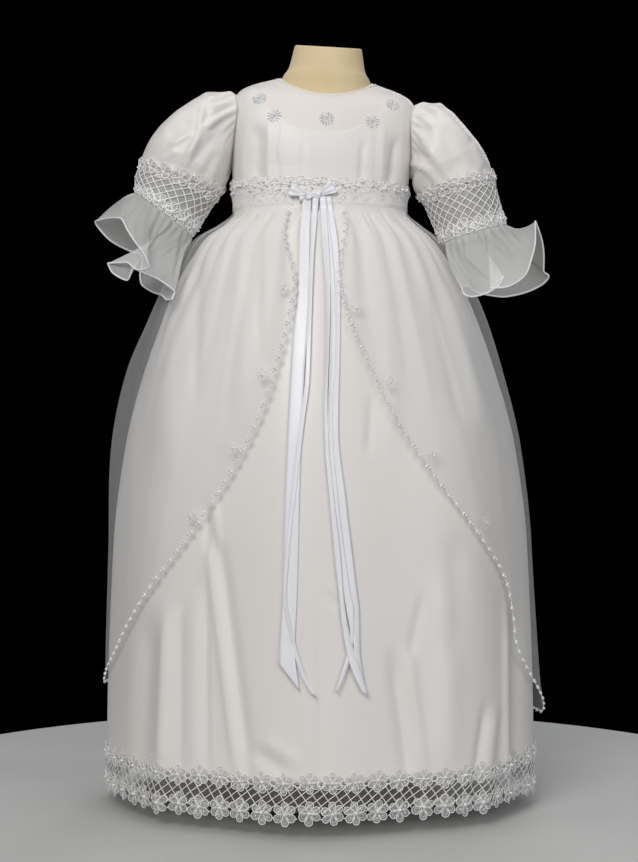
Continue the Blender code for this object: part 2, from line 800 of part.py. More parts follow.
def lace_band(name, pitches, place, low, high, lattice, step, rise):
    """A band of crossed threads between two solid borders.

    place gives a point for a pitch and a height. low and high give the two edges' heights
    at a pitch. lattice is the height of the lower row of openings and step the next row's.
    """
    verts, faces, index = [], [], {}

    def corner(key, pitch, height):
        index[key] = len(verts)
        verts.append(place(pitch, height))

    tall = step - rise
    for k in range(pitches):
        corner(("left", 0, k), k + THREAD_SHARE, lattice)
        corner(("right", 0, k), k + 1 - THREAD_SHARE, lattice)
        corner(("top", 0, k), k + 0.5, lattice + tall)
        corner(("bottom", 0, k), k + 0.5, lattice - tall)
    for k in range(1, pitches):
        corner(("left", 1, k), k - 0.5 + THREAD_SHARE, lattice + step)
        corner(("right", 1, k), k + 0.5 - THREAD_SHARE, lattice + step)
        corner(("top", 1, k), k, lattice + step + tall)
        corner(("bottom", 1, k), k, lattice + step - tall)
    for half in range(2 * pitches + 1):
        corner(("low", half), half / 2, low(half / 2))
        corner(("high", half), half / 2, high(half / 2))

    def face(*keys):
        faces.append(tuple(index[key] for key in keys))

    for k in range(pitches):
        face(("low", 2 * k), ("low", 2 * k + 1), ("bottom", 0, k), ("left", 0, k))
        face(("low", 2 * k + 1), ("low", 2 * k + 2), ("right", 0, k), ("bottom", 0, k))
    for k in range(1, pitches):
        face(("low", 2 * k), ("left", 0, k), ("right", 0, k - 1))
        face(("right", 0, k - 1), ("left", 0, k), ("bottom", 1, k))
        face(("right", 0, k - 1), ("bottom", 1, k), ("left", 1, k), ("top", 0, k - 1))
        face(("left", 0, k), ("top", 0, k), ("right", 1, k), ("bottom", 1, k))
        face(("left", 1, k), ("top", 1, k), ("high", 2 * k), ("high", 2 * k - 1))
        face(("top", 1, k), ("right", 1, k), ("high", 2 * k + 1), ("high", 2 * k))
    for k in range(1, pitches - 1):
        face(("right", 1, k), ("top", 0, k), ("left", 1, k + 1))
        face(("right", 1, k), ("left", 1, k + 1), ("high", 2 * k + 1))
    last = pitches - 1
    face(("low", 0), ("left", 0, 0), ("top", 0, 0), ("high", 0))
    face(("high", 0), ("top", 0, 0), ("left", 1, 1), ("high", 1))
    face(("low", 2 * pitches), ("high", 2 * pitches), ("top", 0, last), ("right", 0, last))
    face(("high", 2 * pitches), ("high", 2 * pitches - 1), ("right", 1, last), ("top", 0, last))
    thicken(add_object(name, verts, faces, "lace", LACE), LACE_WALL)


def make_hem_lace():
    """The border under the skirt's hem, its upper edge on the satin."""
    off = SATIN_WALL + 2 * SEAM_GAP
    for name, start in (("hem_lace_front", pi), ("hem_lace_back", 0.0)):
        def place(pitch, height, start=start):
            margin = SEAM_GAP / 0.24 / 2
            angle = mix(start + margin, start + pi - margin, pitch / HEM_PITCHES)
            return facet_point(angle, height, off)

        def low(pitch):
            return LACE_HEM + HEM_SCALLOP * abs(cos(pitch * pi / 2))

        def high(pitch):
            return HEM_LACE_TOP - HEM_SCALLOP * abs(cos(pitch * pi / 2))

        lace_band(name, HEM_PITCHES, place, low, high, HEM_LATTICE_LOW, LATTICE_STEP, THREAD_RISE)


def make_cuff(side, name, table):
    """A lace cuff in a front and a back half, from the ruffle's seam up to the sleeve."""
    for half, start in (("front", 0.0), ("back", pi)):
        def place(pitch, height, start=start):
            margin = SEAM_GAP / 0.09
            share = pitch / CUFF_PITCHES
            if side > 0:
                share = 1.0 - share
            turn = mix(start + margin, start + pi - margin, share)
            ring = between(table, 1.0 - height)
            return clear_of_skirt(ring_point(ring, turn, cos(SLEEVE_GATHERS * turn)), CUFF_CLEARANCE)

        lace_band(
            f"cuff_{name}_{half}", CUFF_PITCHES, place, lambda pitch: 0.0, lambda pitch: 1.0, 0.38, 0.20, 0.035
        )


# Bow and streamers

def make_bow():
    """The tied bow, two soft loops and a knot, on the waistband."""
    level = 1.0 + (CHEST - BOW_PLACE[1]) / (CHEST - WAIST)
    off = CLOTH_CLEARANCE + SATIN_WALL + 3 * SEAM_GAP + LACE_WALL
    rings = []
    for row in BOW:
        x = BOW_PLACE[0] + row.x * MM
        angle = 1.5 * pi + asin(signed_power(x / (TORSO[0].side * MM), TORSO_POWER / 2))
        back = torso_point(angle, level, off)
        ring = []
        for i in range(BOW_SIDES):
            turn = 2 * pi * i / BOW_SIDES
            depth = row.depth * MM * (1 + cos(turn)) * 1.1
            ring.append(Vector((x, back.y - depth, BOW_PLACE[1] + row.height * MM * sin(turn))))
        rings.append(ring)
    closed_loft("bow", rings, "ribbon", RIBBON)


def ribbon_rail(table, shift, off):
    """One edge of a streamer, down the front of the skirt."""
    heights = [table[0].height, 667] + [height for height in RIBBON_ROWS if height > table[-1].height]
    rail = []
    for height in heights + [table[-1].height]:
        x = row_at(table, height * MM).x + shift
        if height > WAIST / MM:
            level = 1.0 + (CHEST - height * MM) / (CHEST - WAIST)
            over_band = CLOTH_CLEARANCE + SATIN_WALL + LACE_WALL + 3 * SEAM_GAP
            surface = torso_point(1.5 * pi, level, over_band)
            rail.append(Vector((x, surface.y, height * MM)))
            continue
        row = row_at(SKIRT, height * MM)
        angle = 1.5 * pi + asin(x / row.left)
        surface = facet_point(angle, height * MM, SATIN_WALL + off + row.gather)
        rail.append(Vector((surface.x, surface.y, height * MM)))
    return rail


def make_ribbon(name, table, width):
    off = RIBBON_CLEARANCE
    rails = [ribbon_rail(table, shift, off) for shift in (-width / 2, width / 2)]
    rows = [[left, right] for left, right in zip(*rails)]
    rows.reverse()
    cloth(name, rows, RIBBON_WALL, "ribbon", RIBBON)


def make_ribbons():
    make_ribbon("ribbon_left", RIBBON_LEFT, 0.012)
    make_ribbon("ribbon_left_inner", RIBBON_LEFT_INNER, 0.003)
    make_ribbon("ribbon_right", RIBBON_RIGHT, 0.010)
    make_ribbon("ribbon_right_inner", RIBBON_RIGHT_INNER, 0.003)


for old in list(bpy.data.objects):
    bpy.data.objects.remove(old)
gown = bpy.data.collections.new("christening_gown")
bpy.context.scene.collection.children.link(gown)
root = bpy.data.objects.new("gown_root", None)
gown.objects.link(root)

make_form()
make_stand()
make_bodice()
make_waistband()
make_skirt()
make_overskirt()
make_hem_lace()
make_sleeve(-1, "left", SLEEVE_LEFT)
make_sleeve(1, "right", SLEEVE_RIGHT)
make_cuff(-1, "left", CUFF_LEFT)
make_cuff(1, "right", CUFF_RIGHT)
make_ruffle(-1, "left", RUFFLE_LEFT)
make_ruffle(1, "right", RUFFLE_RIGHT)
make_bow()
make_ribbons()
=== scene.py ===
"""Looks of a christening gown on a dress form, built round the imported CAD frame.

Metres, +Z up, front towards -Y. Left and right are those of a viewer who faces the front.
Angles go round the upright axis: 0 is at +X and 270 degrees is the front.
"""

import random
from collections import namedtuple
from math import cos, pi, radians, sin, tau

import bpy
import numpy as np
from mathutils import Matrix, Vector


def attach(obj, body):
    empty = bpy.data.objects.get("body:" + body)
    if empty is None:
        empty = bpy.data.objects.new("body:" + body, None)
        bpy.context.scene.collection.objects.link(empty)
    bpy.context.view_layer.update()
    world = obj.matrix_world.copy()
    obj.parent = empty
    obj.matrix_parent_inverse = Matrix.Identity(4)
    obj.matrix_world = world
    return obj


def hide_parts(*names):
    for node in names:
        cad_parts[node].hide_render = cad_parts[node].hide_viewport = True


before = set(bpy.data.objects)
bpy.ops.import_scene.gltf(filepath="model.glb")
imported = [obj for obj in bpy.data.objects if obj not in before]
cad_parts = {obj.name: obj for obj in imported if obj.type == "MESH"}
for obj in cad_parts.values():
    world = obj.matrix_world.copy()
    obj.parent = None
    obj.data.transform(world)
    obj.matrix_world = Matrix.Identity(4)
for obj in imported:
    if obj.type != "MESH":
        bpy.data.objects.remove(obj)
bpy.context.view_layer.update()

MM = 0.001
chance = random.Random(11)


def rows_of(kind, *given):
    """A table whose rows have the kind's named columns."""
    return tuple(kind(*row) for row in given)


# Walls and gaps of the solids that the cloth here lies on
SATIN_WALL = 0.0015
SHEER_WALL = 0.0010
LACE_WALL = 0.0011
SEAM_GAP = 0.0004
CLOTH_CLEARANCE = 0.0005

# Walls of the cloth that shows
SATIN_SHELL = 0.0007
SHEER_SHELL = 0.0003

# Heights that divide the gown
NECKLINE = 0.816
CHEST = 0.709
WAIST = 0.664
SATIN_HEM = 0.056

# The eye that sees the gown: its distance from the middle plane and its height
SIGHTED_FROM = 1.95
SIGHTED_HEIGHT = 0.418

# The torso's rings in millimetres: half width, then depth in front and behind
TorsoRow = namedtuple("TorsoRow", "height side front back")
TORSO = rows_of(
    TorsoRow,
    (709, 99.0, 66, 60),
    (664, 95, 67, 58),
    (640, 96, 68, 60),
    (600, 93, 66, 60),
)
TORSO_POWER = 2.4

# The form under the cloth: levels on the torso, and millimetres inside it
FormRing = namedtuple("FormRing", "level inset")
FORM_RINGS = rows_of(
    FormRing,
    (4.0, 3.0),
    (3.0, 3.0),
    (2.0, 3.0),
    (1.5, 3.0),
    (1.0, 5.0),
    (0.88, 5.0),
    (0.76, 3.5),
    (0.62, 2.0),
    (0.5, 2.0),
    (0.3, 2.0),
    (0.0, 0.3),
)

NeckRow = namedtuple("NeckRow", "height side depth")
NECK = rows_of(
    NeckRow,
    (820.5, 48.8, 38.6),
    (824.5, 45.8, 38.0),
    (831, 43.0, 37.3),
    (841, 40.9, 36.5),
    (852, 38.8, 34.8),
    (855, 38.1, 34.2),
    (856, 36.4, 32.6),
)
NECK_TILT = 0.22
NECK_TILT_FROM = 822
NECK_TILT_OVER = 30
NECK_BASE = NeckRow(816, 51, 41)
NECKLINE_DIP = 0.0235

SHOULDER_WIDTH = 0.106
SHOULDER_POWER = 4.0
SHOULDER_DROP = 0.012
SHOULDER_FALL = 0.004
FRONT_FALL = 0.006
LEAN = radians(3.4)
LEAN_OVER = 0.060
ARMHOLE_SWING = radians(24)
SHOULDER_TIP = 0.5
SCOOP_DEPTH = 0.66
SCOOP_SIDE = 0.06

# The skirt's rings in millimetres; fold is the height of its deep waves, gather of its fine ones
SkirtRow = namedtuple("SkirtRow", "height left right front back fold gather")
SKIRT = rows_of(
    SkirtRow,
    (662.5, 96.5, 96.5, 68.5, 59.5, 0, 0),
    (650, 108, 107, 82, 76, 0.3, 1.2),
    (634, 129, 125, 98, 94, 0.8, 2.0),
    (606, 147, 145, 115, 112, 1.6, 1.8),
    (564, 166, 167, 136, 134, 2.8, 1.0),
    (486, 195, 195, 160, 158, 4.4, 0.4),
    (400, 216, 217, 176, 176, 5.4, 0),
    (290, 229, 230, 187, 187, 6.2, 0),
    (62, 236, 237, 196, 196, 6.5, 0),
    (12, 236, 236, 196, 196, 6.5, 0),
)
OVAL_BELOW = 0.1
GATHERS = 32
FoldWave = namedtuple("FoldWave", "count phase share")
SKIRT_FOLDS = (FoldWave(8, 0.4, 0.6), FoldWave(5, 1.9, 0.4))

# How far the overskirt stands off the skirt, in millimetres
OverRow = namedtuple("OverRow", "height left right front back fold gather")
OVERSKIRT = rows_of(
    OverRow,
    (662, 1.4, 1.4, 1.4, 1.4, 0, 0),
    (650, 3.5, 3.5, 4.5, 5, 0.3, 1.5),
    (634, 9, 5.5, 6, 6.5, 0.8, 2.4),
    (606, 11, 6, 7, 8, 1.2, 2.0),
    (564, 13, 9, 7, 9, 1.8, 1.2),
    (486, 19, 6, 7, 9, 2.8, 0.6),
    (400, 15, 3.5, 6, 8, 3.0, 0),
    (290, 4.5, 2.2, 6, 6.5, 2.8, 0),
    (150, 2.4, 5.6, 7, 7, 2.0, 0),
    (88, 1.8, 11, 6, 6.5, 2.0, 0),
)
OVER_FOLDS = (FoldWave(8, 2.2, 0.6), FoldWave(11, 0.3, 0.4))
OVER_BACK_HEM = 0.088

# The overskirt's front edges as sighted from the front, in millimetres
Sighting = namedtuple("Sighting", "x z")
EDGE_LEFT = rows_of(
    Sighting,
    (-39, 663),
    (-39, 624),
    (-31, 587),
    (-39, 542),
    (-52, 497),
    (-73, 437),
    (-113, 361),
    (-158, 290),
    (-207, 215),
    (-233, 167),
    (-239, 132),
)
EDGE_RIGHT = rows_of(
    Sighting,
    (31, 662),
    (27, 624),
    (25, 591),
    (39, 536),
    (56, 498),
    (87, 434),
    (134, 362),
    (179, 299),
    (214, 235),
    (222, 181),
    (240, 136),
    (250, 98),
)

# Rings of the sleeves and cuffs in millimetres: both ends as sighted from the front, then half the depth,
# the way forward of the middle plane, the front's drop along the sleeve and the height of the waves
Ring = namedtuple("Ring", "outer_x outer_z inner_x inner_z depth forward drop wave")
SLEEVE_LEFT = rows_of(
    Ring,
    (-111, 808, -105, 708, 43, 1, 0, 1.6),
    (-131, 801, -105.5, 706, 52, 3, 0, 2.0),
    (-165, 779, -106, 704, 57, 6, 0, 1.4),
    (-191, 752, -107, 702, 56, 8, 0, 1.2),
    (-202, 729, -109, 697, 50, 10, 0, 1.6),
    (-204, 721, -115, 688, 46, 12, 0, 1.0),
)
CUFF_LEFT = rows_of(
    Ring,
    (-204, 719.4, -115.6, 686.4, 46, 12, 0, 0.6),
    (-210, 705, -128, 667, 43, 20, 0, 0.4),
    (-209, 690, -145, 642, 39, 30, 0, 0.4),
)
SLEEVE_RIGHT = rows_of(
    Ring,
    (121, 796, 107, 707, 43, 1, 0, 1.6),
    (139, 789, 106.5, 705, 52, 3, 0, 2.0),
    (161, 769, 106, 703, 57, 6, 0, 1.4),
    (179, 746, 106, 701, 56, 8, 0, 1.2),
    (192, 723, 109, 692, 50, 10, 0, 1.6),
    (197, 704, 117.5, 682.5, 46, 12, 0, 1.0),
)
CUFF_RIGHT = rows_of(
    Ring,
    (197.4, 702.4, 118, 680.9, 46, 12, 0, 0.6),
    (204, 679, 127, 659, 43, 20, 0, 0.4),
    (211, 654, 138, 633, 39, 30, 0, 0.4),
)
RUFFLE_TOP = {
    "left": Ring(-209.5, 688.6, -146, 640.6, 39, 30.5, 0, 0.4),
    "right": Ring(211.6, 652.4, 138.7, 631.3, 39, 30.5, 0, 0.4),
}
RUFFLE_CLEARANCE = 0.0035
CUFF_CLEARANCE = 0.0015

BAND_TOP = 0.699


# Small helpers on arrays of numbers

def mix(start, end, share):
    return start + (end - start) * share


def across(count):
    """Even shares from 0 to 1 as a row."""
    return np.linspace(0, 1, count)[None, :]


def upward(count):
    """Even shares from 0 to 1 as a column."""
    return np.linspace(0, 1, count)[:, None]


def turns_of(count):
    """Even angles round a circle, without the last that meets the first."""
    return tau * np.arange(count) / count


def smooth(share):
    share = np.clip(share, 0.0, 1.0)
    return share * share * (3.0 - 2.0 * share)


def bump(places, centre, width):
    """A soft hill of height 1, about twice its width across."""
    return np.exp(-((places - centre) / width) ** 2)


def signed_power(value, power):
    return np.sign(value) * np.abs(value) ** power


def point(x, y, z):
    x, y, z = np.broadcast_arrays(x, y, z)
    return np.stack([x, y, z], axis=-1).astype(float)


def unit(vectors):
    return vectors / np.maximum(np.linalg.norm(vectors, axis=-1, keepdims=True), 1e-12)


def slopes(x, y):
    """Slopes for a smooth curve through points, with no overshoot."""
    step = np.diff(x)[:, None]
    rise = np.diff(y, axis=0) / step
    made = np.zeros_like(y)
    made[0], made[-1] = rise[0], rise[-1]
    before, after = rise[:-1], rise[1:]
    same = before * after > 0
    both = np.where(same, before + after, 1.0)
    made[1:-1] = np.where(same, 2 * before * after / both, 0.0)
    return made


def curve(x, y, places):
    """The values of a smooth curve through the rows of y at x."""
    x, y = np.asarray(x, float), np.asarray(y, float)
    places = np.clip(np.asarray(places, float), x[0], x[-1])
    index = np.clip(np.searchsorted(x, places) - 1, 0, len(x) - 2)
    made = slopes(x, y)
    width = (x[index + 1] - x[index])[..., None]
    t = (places - x[index])[..., None] / width
    h00, h10 = (1 + 2 * t) * (1 - t) ** 2, t * (1 - t) ** 2
    h01, h11 = t * t * (3 - 2 * t), t * t * (t - 1)
    return h00 * y[index] + h10 * width * made[index] + h01 * y[index + 1] + h11 * width * made[index + 1]


def table_at(table, heights):
    """A table's row at each height, in metres."""
    rows = np.array(table[::-1], float) * MM
    found = curve(rows[:, 0], rows[:, 1:], heights)
    fields = type(table[0])._fields
    return type(table[0])(np.asarray(heights), *(found[..., i] for i in range(len(fields) - 1)))


def table_along(table, shares):
    """The row at each share of the way along a table, in metres."""
    rows = np.array(table, float) * MM
    found = curve(np.linspace(0, 1, len(table)), rows, shares)
    return type(table[0])(*(found[..., i] for i in range(rows.shape[1])))


def sighted(x, z, forward):
    """The point at a distance forward of the middle plane that is seen at x and z on it."""
    scale = (SIGHTED_FROM - forward) / SIGHTED_FROM
    return point(x * scale, -np.asarray(forward), SIGHTED_HEIGHT + (z - SIGHTED_HEIGHT) * scale)


# The photograph's pixels on the gown's middle plane
PIXEL = 0.00114
MIDDLE_COLUMN = 320
HEM_ROW = 787
HEM_LEVEL = 0.012


def seen(px, py, forward):
    """The point at a distance forward of the middle plane that the photograph shows at px and py."""
    x = (np.asarray(px, float) - MIDDLE_COLUMN) * PIXEL
    z = HEM_LEVEL + (HEM_ROW - np.asarray(py, float)) * PIXEL
    return sighted(x, z, forward)


def seen_at(points):
    """Where the photograph shows points, as px and py."""
    scale = (SIGHTED_FROM + points[..., 1]) / SIGHTED_FROM
    z = SIGHTED_HEIGHT + (points[..., 2] - SIGHTED_HEIGHT) / scale
    return MIDDLE_COLUMN + points[..., 0] / scale / PIXEL, HEM_ROW - (z - HEM_LEVEL) / PIXEL


# A fold's two ends and width in the photograph's pixels, and its depth in millimetres
Fold = namedtuple("Fold", "px1 py1 px2 py2 width depth")


def fold_lift(folds_there, points):
    """How far folds placed from the photograph move the cloth out, in metres."""
    px, py = seen_at(points)
    lift = np.zeros_like(px)
    for fold in folds_there:
        along_x, along_y = fold.px2 - fold.px1, fold.py2 - fold.py1
        length = (along_x ** 2 + along_y ** 2) ** 0.5
        share = ((px - fold.px1) * along_x + (py - fold.py1) * along_y) / length ** 2
        beside = ((px - fold.px1) * along_y - (py - fold.py1) * along_x) / length
        run = smooth((share + 0.05) / 0.3) * smooth((1.05 - share) / 0.3)
        lift = lift + fold.depth * MM * bump(beside, 0.0, fold.width) * run
    return lift


# The torso that gives the bodice its shape

def section(side, front, back, angle, power):
    x = side * signed_power(np.cos(angle), 2.0 / power)
    deep = np.where(np.sin(angle) >= 0, back, front)
    return x, deep * signed_power(np.sin(angle), 2.0 / power)


def torso(angle, level):
    """A point of the bare torso: level 0 is the neckline, 1 the chest and 2 the waist."""
    angle, level = np.broadcast_arrays(np.asarray(angle, float), np.asarray(level, float))
    row = table_along(TORSO, np.clip((level - 1.0) / (len(TORSO) - 1), 0, 1))
    x, y = section(row.side, row.front, row.back, angle, TORSO_POWER)
    low = point(x, y, row.height)
    facing = np.maximum(0.0, -np.sin(angle))
    neck_x, neck_y = section(NECK_BASE.side * MM, NECK_BASE.depth * MM, NECK_BASE.depth * MM, angle, 2.0)
    neck = point(neck_x, neck_y, NECKLINE - NECKLINE_DIP * facing ** 1.5)
    shoulder = SHOULDER_WIDTH * signed_power(np.cos(angle), 2.0 / SHOULDER_POWER)
    drop = SHOULDER_FALL + FRONT_FALL * facing + SHOULDER_DROP * np.cos(angle) ** 4
    corner = point(shoulder, y, neck[..., 2] - drop)
    weight = 0.8 + 3.2 * np.abs(np.cos(angle)) ** 4
    t = np.clip(level, 0.0, 1.0)
    shares = [(1 - t) ** 2, 2 * weight * t * (1 - t), t ** 2]
    whole = shares[0] + shares[1] + shares[2]
    high = sum(part * (share / whole)[..., None] for part, share in zip((neck, corner, low), shares))
    return np.where((level >= 1.0)[..., None], low, high)


def lean(points):
    """Leans the upper body to the right, from the waist up."""
    tilt = LEAN * smooth((points[..., 2] - WAIST) / LEAN_OVER)
    shift = tilt * np.maximum(0.0, points[..., 2] - WAIST - LEAN_OVER / 2)
    return point(points[..., 0] + shift, points[..., 1], points[..., 2] - points[..., 0] * tilt)


def torso_point(angle, level, off):
    """A point at a distance outside the torso, leaned with it."""
    step = 0.01
    level = np.asarray(level, float)
    around = torso(angle + step, level) - torso(angle - step, level)
    low = np.minimum(level + step, len(TORSO))
    down = torso(angle, low) - torso(angle, np.maximum(level - step, 0.0))
    outward = unit(np.cross(down, around))
    return lean(torso(angle, level) + outward * np.asarray(off)[..., None])


def armhole_swing(level):
    share = np.clip((level - SHOULDER_TIP) / (1.0 - SHOULDER_TIP), 0.0, 1.0)
    return ARMHOLE_SWING * np.sqrt(np.maximum(0.0, 1 - (2 * share - 1) ** 2))


def scoop_level(share):
    """Level of the satin's scooped top edge at a share across the front."""
    return SCOOP_SIDE + (SCOOP_DEPTH - SCOOP_SIDE) * np.cos((share - 0.5) * pi) ** 2


# Skirt and overskirt

def folds(waves, angle):
    return sum(wave.share * np.cos(wave.count * angle + wave.phase) for wave in waves)


def plan(wide, deep, power, angle, off):
    """A point of a section, moved out along the section's normal."""
    x = signed_power(np.cos(angle), 2.0 / power)
    y = signed_power(np.sin(angle), 2.0 / power)
    out_x = signed_power(x, power - 1) / wide
    out_y = signed_power(y, power - 1) / deep
    size = np.hypot(out_x, out_y)
    return wide * x + out_x / size * off, deep * y + out_y / size * off


def oval_power(height):
    return mix(TORSO_POWER, 2.0, smooth((WAIST - height) / OVAL_BELOW))


def skirt_point(angle, height, off):
    angle, height = np.broadcast_arrays(np.asarray(angle, float), np.asarray(height, float))
    row = table_at(SKIRT, height)
    wave = row.fold * folds(SKIRT_FOLDS, angle) + row.gather * np.cos(GATHERS * angle)
    wide = np.where(np.cos(angle) >= 0, row.right, row.left)
    deep = np.where(np.sin(angle) >= 0, row.back, row.front)
    x, y = plan(wide, deep, oval_power(height), angle, wave + off)
    return point(x, y, height)


def stand_off(angle, height):
    row = table_at(OVERSKIRT, height)
    side = np.where(np.cos(angle) >= 0, row.right, row.left)
    end = np.where(np.sin(angle) >= 0, row.back, row.front)
    return side * np.cos(angle) ** 2 + end * np.sin(angle) ** 2


def over_point(angle, height, off):
    row = table_at(OVERSKIRT, height)
    wave = row.fold * (1 + folds(OVER_FOLDS, angle)) / 2
    return skirt_point(angle, height, off + SATIN_WALL + stand_off(angle, height) + wave)


def oval_angle(place):
    """Angle of points round the overskirt, and their reach from the axis as a share of its size."""
    x, y, z = place[..., 0], place[..., 1], place[..., 2]
    row, more = table_at(SKIRT, z), table_at(OVERSKIRT, z)
    wide = np.where(x >= 0, row.right + more.right, row.left + more.left) + SATIN_WALL
    deep = np.where(y >= 0, row.back + more.back, row.front + more.front) + SATIN_WALL
    power = oval_power(z)
    u = signed_power(x / wide, power / 2)
    v = signed_power(y / deep, power / 2)
    return np.arctan2(v, u) % tau, np.hypot(u, v) ** (2 / power)


def on_overskirt(sighting):
    """Angle and height of the overskirt's point that is seen at a sighting."""
    x, z = sighting.x * MM, sighting.z * MM
    if oval_angle(sighted(x, z, 0.0))[1] >= 1.0:
        return (tau if x > 0 else pi), z
    near, far = 0.0, 0.25
    for _ in range(30):
        middle = (near + far) / 2
        if oval_angle(sighted(x, z, middle))[1] < 1.0:
            near = middle
        else:
            far = middle
    found = sighted(x, z, near)
    return float(oval_angle(found)[0]), float(found[2])


def clear_of_skirt(points, gap):
    """Moves points out until they are clear of the overskirt."""
    angle, reach = oval_angle(points)
    gather = table_at(OVERSKIRT, points[..., 2]).gather
    surface = over_point(angle, points[..., 2], SHEER_WALL + gap + gather)
    limit = oval_angle(surface)[1]
    low = (points[..., 2] < WAIST - 0.004) & (reach < limit)
    share = np.where(low, limit / np.maximum(reach, 1e-6), 1.0)
    return point(points[..., 0] * share, points[..., 1] * share, points[..., 2])


# Grids of points: rows go up, columns go to the right as seen from outside

def normals(grid, closed=False):
    """Outward normals of a grid of points."""
    if closed:
        along = np.roll(grid, -1, axis=1) - np.roll(grid, 1, axis=1)
    else:
        along = np.gradient(grid, axis=1)
    return unit(np.cross(along, np.gradient(grid, axis=0)))


def raised(grid, amount, closed=False):
    return grid + normals(grid, closed) * np.asarray(amount)[..., None]


def loft(rings, rows, places=None):
    """More rings on smooth curves through the ones given."""
    rings = np.asarray(rings)
    flat = rings.reshape(len(rings), -1)
    if places is None:
        places = np.linspace(0, 1, len(rings))
    found = curve(places, flat, np.linspace(0, 1, rows))
    return found.reshape(rows, *rings.shape[1:])


class Patch:
    """A surface that gives its points and normals at shares across (u) and up (v)."""

    def __init__(self, grid, closed=False):
        self.grid = np.concatenate([grid, grid[:, :1]], axis=1) if closed else grid
        self.normal = normals(grid, closed)
        if closed:
            self.normal = np.concatenate([self.normal, self.normal[:, :1]], axis=1)
        self.closed = closed

    def spread(self, layer, u, v):
        rows, columns = layer.shape[:2]
        u = (u % 1.0 if self.closed else np.clip(u, 0, 1)) * (columns - 1)
        v = np.clip(v, 0, 1) * (rows - 1)
        i = np.minimum(u.astype(int), columns - 2)
        j = np.minimum(v.astype(int), rows - 2)
        a, b = (u - i)[..., None], (v - j)[..., None]
        low = layer[j, i] * (1 - a) + layer[j, i + 1] * a
        high = layer[j + 1, i] * (1 - a) + layer[j + 1, i + 1] * a
        return low * (1 - b) + high * b

    def at(self, u, v, off=0.0):
        u, v = np.broadcast_arrays(np.asarray(u, float), np.asarray(v, float))
        normal = unit(self.spread(self.normal, u, v))
        return self.spread(self.grid, u, v) + normal * np.asarray(off)[..., None], normal


# Meshes

def grid_faces(rows, columns, closed, looped=False):
    """Quads of a grid: closed joins its last column to its first, looped its last row."""
    index = np.arange(rows * columns).reshape(rows, columns)
    if closed:
        index = np.concatenate([index, index[:, :1]], axis=1)
    if looped:
        index = np.concatenate([index, index[:1]], axis=0)
    quads = np.stack([index[:-1, :-1], index[:-1, 1:], index[1:, 1:], index[1:, :-1]], axis=-1)
    return quads.reshape(-1, 4)


def new_piece(name, verts, faces, look, nodes=()):
    """A mesh that rides on the gown's one body."""
    mesh = bpy.data.meshes.new(name)
    mesh.from_pydata([tuple(v) for v in verts], [], [tuple(f) for f in faces])
    mesh.polygons.foreach_set("use_smooth", [True] * len(mesh.polygons))
    mesh.update()
    piece = bpy.data.objects.new(name, mesh)
    mesh.materials.append(look)
    bpy.context.scene.collection.objects.link(piece)
    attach(piece, "root")
    if nodes:
        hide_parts(*nodes)
    return piece


def add_wall(piece, thickness, offset):
    wall = piece.modifiers.new("Wall", "SOLIDIFY")
    wall.thickness, wall.offset = thickness, offset


def cloth(name, grid, look, slot_name, nodes=(), shell=SATIN_SHELL, closed=False):
    """A thin shell of cloth through a grid of points."""
    rows, columns = grid.shape[:2]
    piece = new_piece(name, grid.reshape(-1, 3), grid_faces(rows, columns, closed), look, nodes)
    if shell:
        add_wall(piece, shell, 1.0)
    return piece


def panel(node, kind, grid, look, **given):
    """Cloth in place of a node, named after it and its kind."""
    return cloth(f"{node}_{kind}", grid, look, kind, [node], **given)


class Heap:
    """Many small shapes gathered for one mesh."""

    def __init__(self):
        self.verts, self.faces, self.count = [], [], 0

    def add(self, verts, faces):
        self.verts.append(verts)
        self.faces.extend((faces + self.count).tolist())
        self.count += len(verts)

    def piece(self, name, look, slot_name, nodes=()):
        return new_piece(name, np.concatenate(self.verts), self.faces, look, nodes)


def tube(heap, path, normal, radius, sides=4, closed=False, flat=1.0):
    """A thread along a path on a surface; flat below 1 presses it towards the surface."""
    count = len(path)
    if closed:
        along = np.roll(path, -1, axis=0) - np.roll(path, 1, axis=0)
    else:
        along = np.gradient(path, axis=0)
    beside = unit(np.cross(unit(along), normal))
    radius = np.broadcast_to(radius, (count,))
    rings = []
    for k in range(sides):
        turn = tau * (k + 0.5) / sides
        rings.append(path + (beside * cos(turn) + normal * sin(turn) * flat) * radius[:, None])
    verts = np.stack(rings, axis=1).reshape(-1, 3)
    heap.add(verts, grid_faces(count, sides, True, closed))


def ball_shape(rings=3, sides=7):
    """A low ball with small rings in place of its poles."""
    tilt = np.linspace(-0.47, 0.47, rings + 1)[:, None] * pi
    turn = tau * np.arange(sides)[None, :] / sides
    verts = point(np.cos(tilt) * np.cos(turn), np.cos(tilt) * np.sin(turn), np.sin(tilt))
    return verts.reshape(-1, 3), grid_faces(rings + 1, sides, True)


BALL = ball_shape()


def ball(heap, centre, normal, radius, stretch=(1.0, 1.0, 1.0), turn=0.0):
    """A bead: stretch is along the surface, across it and out of it."""
    side = unit(np.cross(normal, np.array([0.0, 0.0, 1.0]) + normal * 0.01))
    up = np.cross(normal, side)
    first = side * cos(turn) + up * sin(turn)
    second = up * cos(turn) - side * sin(turn)
    verts = BALL[0] * np.array(stretch) * radius
    placed = verts[:, :1] * first + verts[:, 1:2] * second + verts[:, 2:] * normal
    heap.add(placed + centre, BALL[1])


# Materials

def set_sockets(node, **values):
    for socket, value in values.items():
        node.inputs[socket.replace("_", " ")].default_value = value
    return node


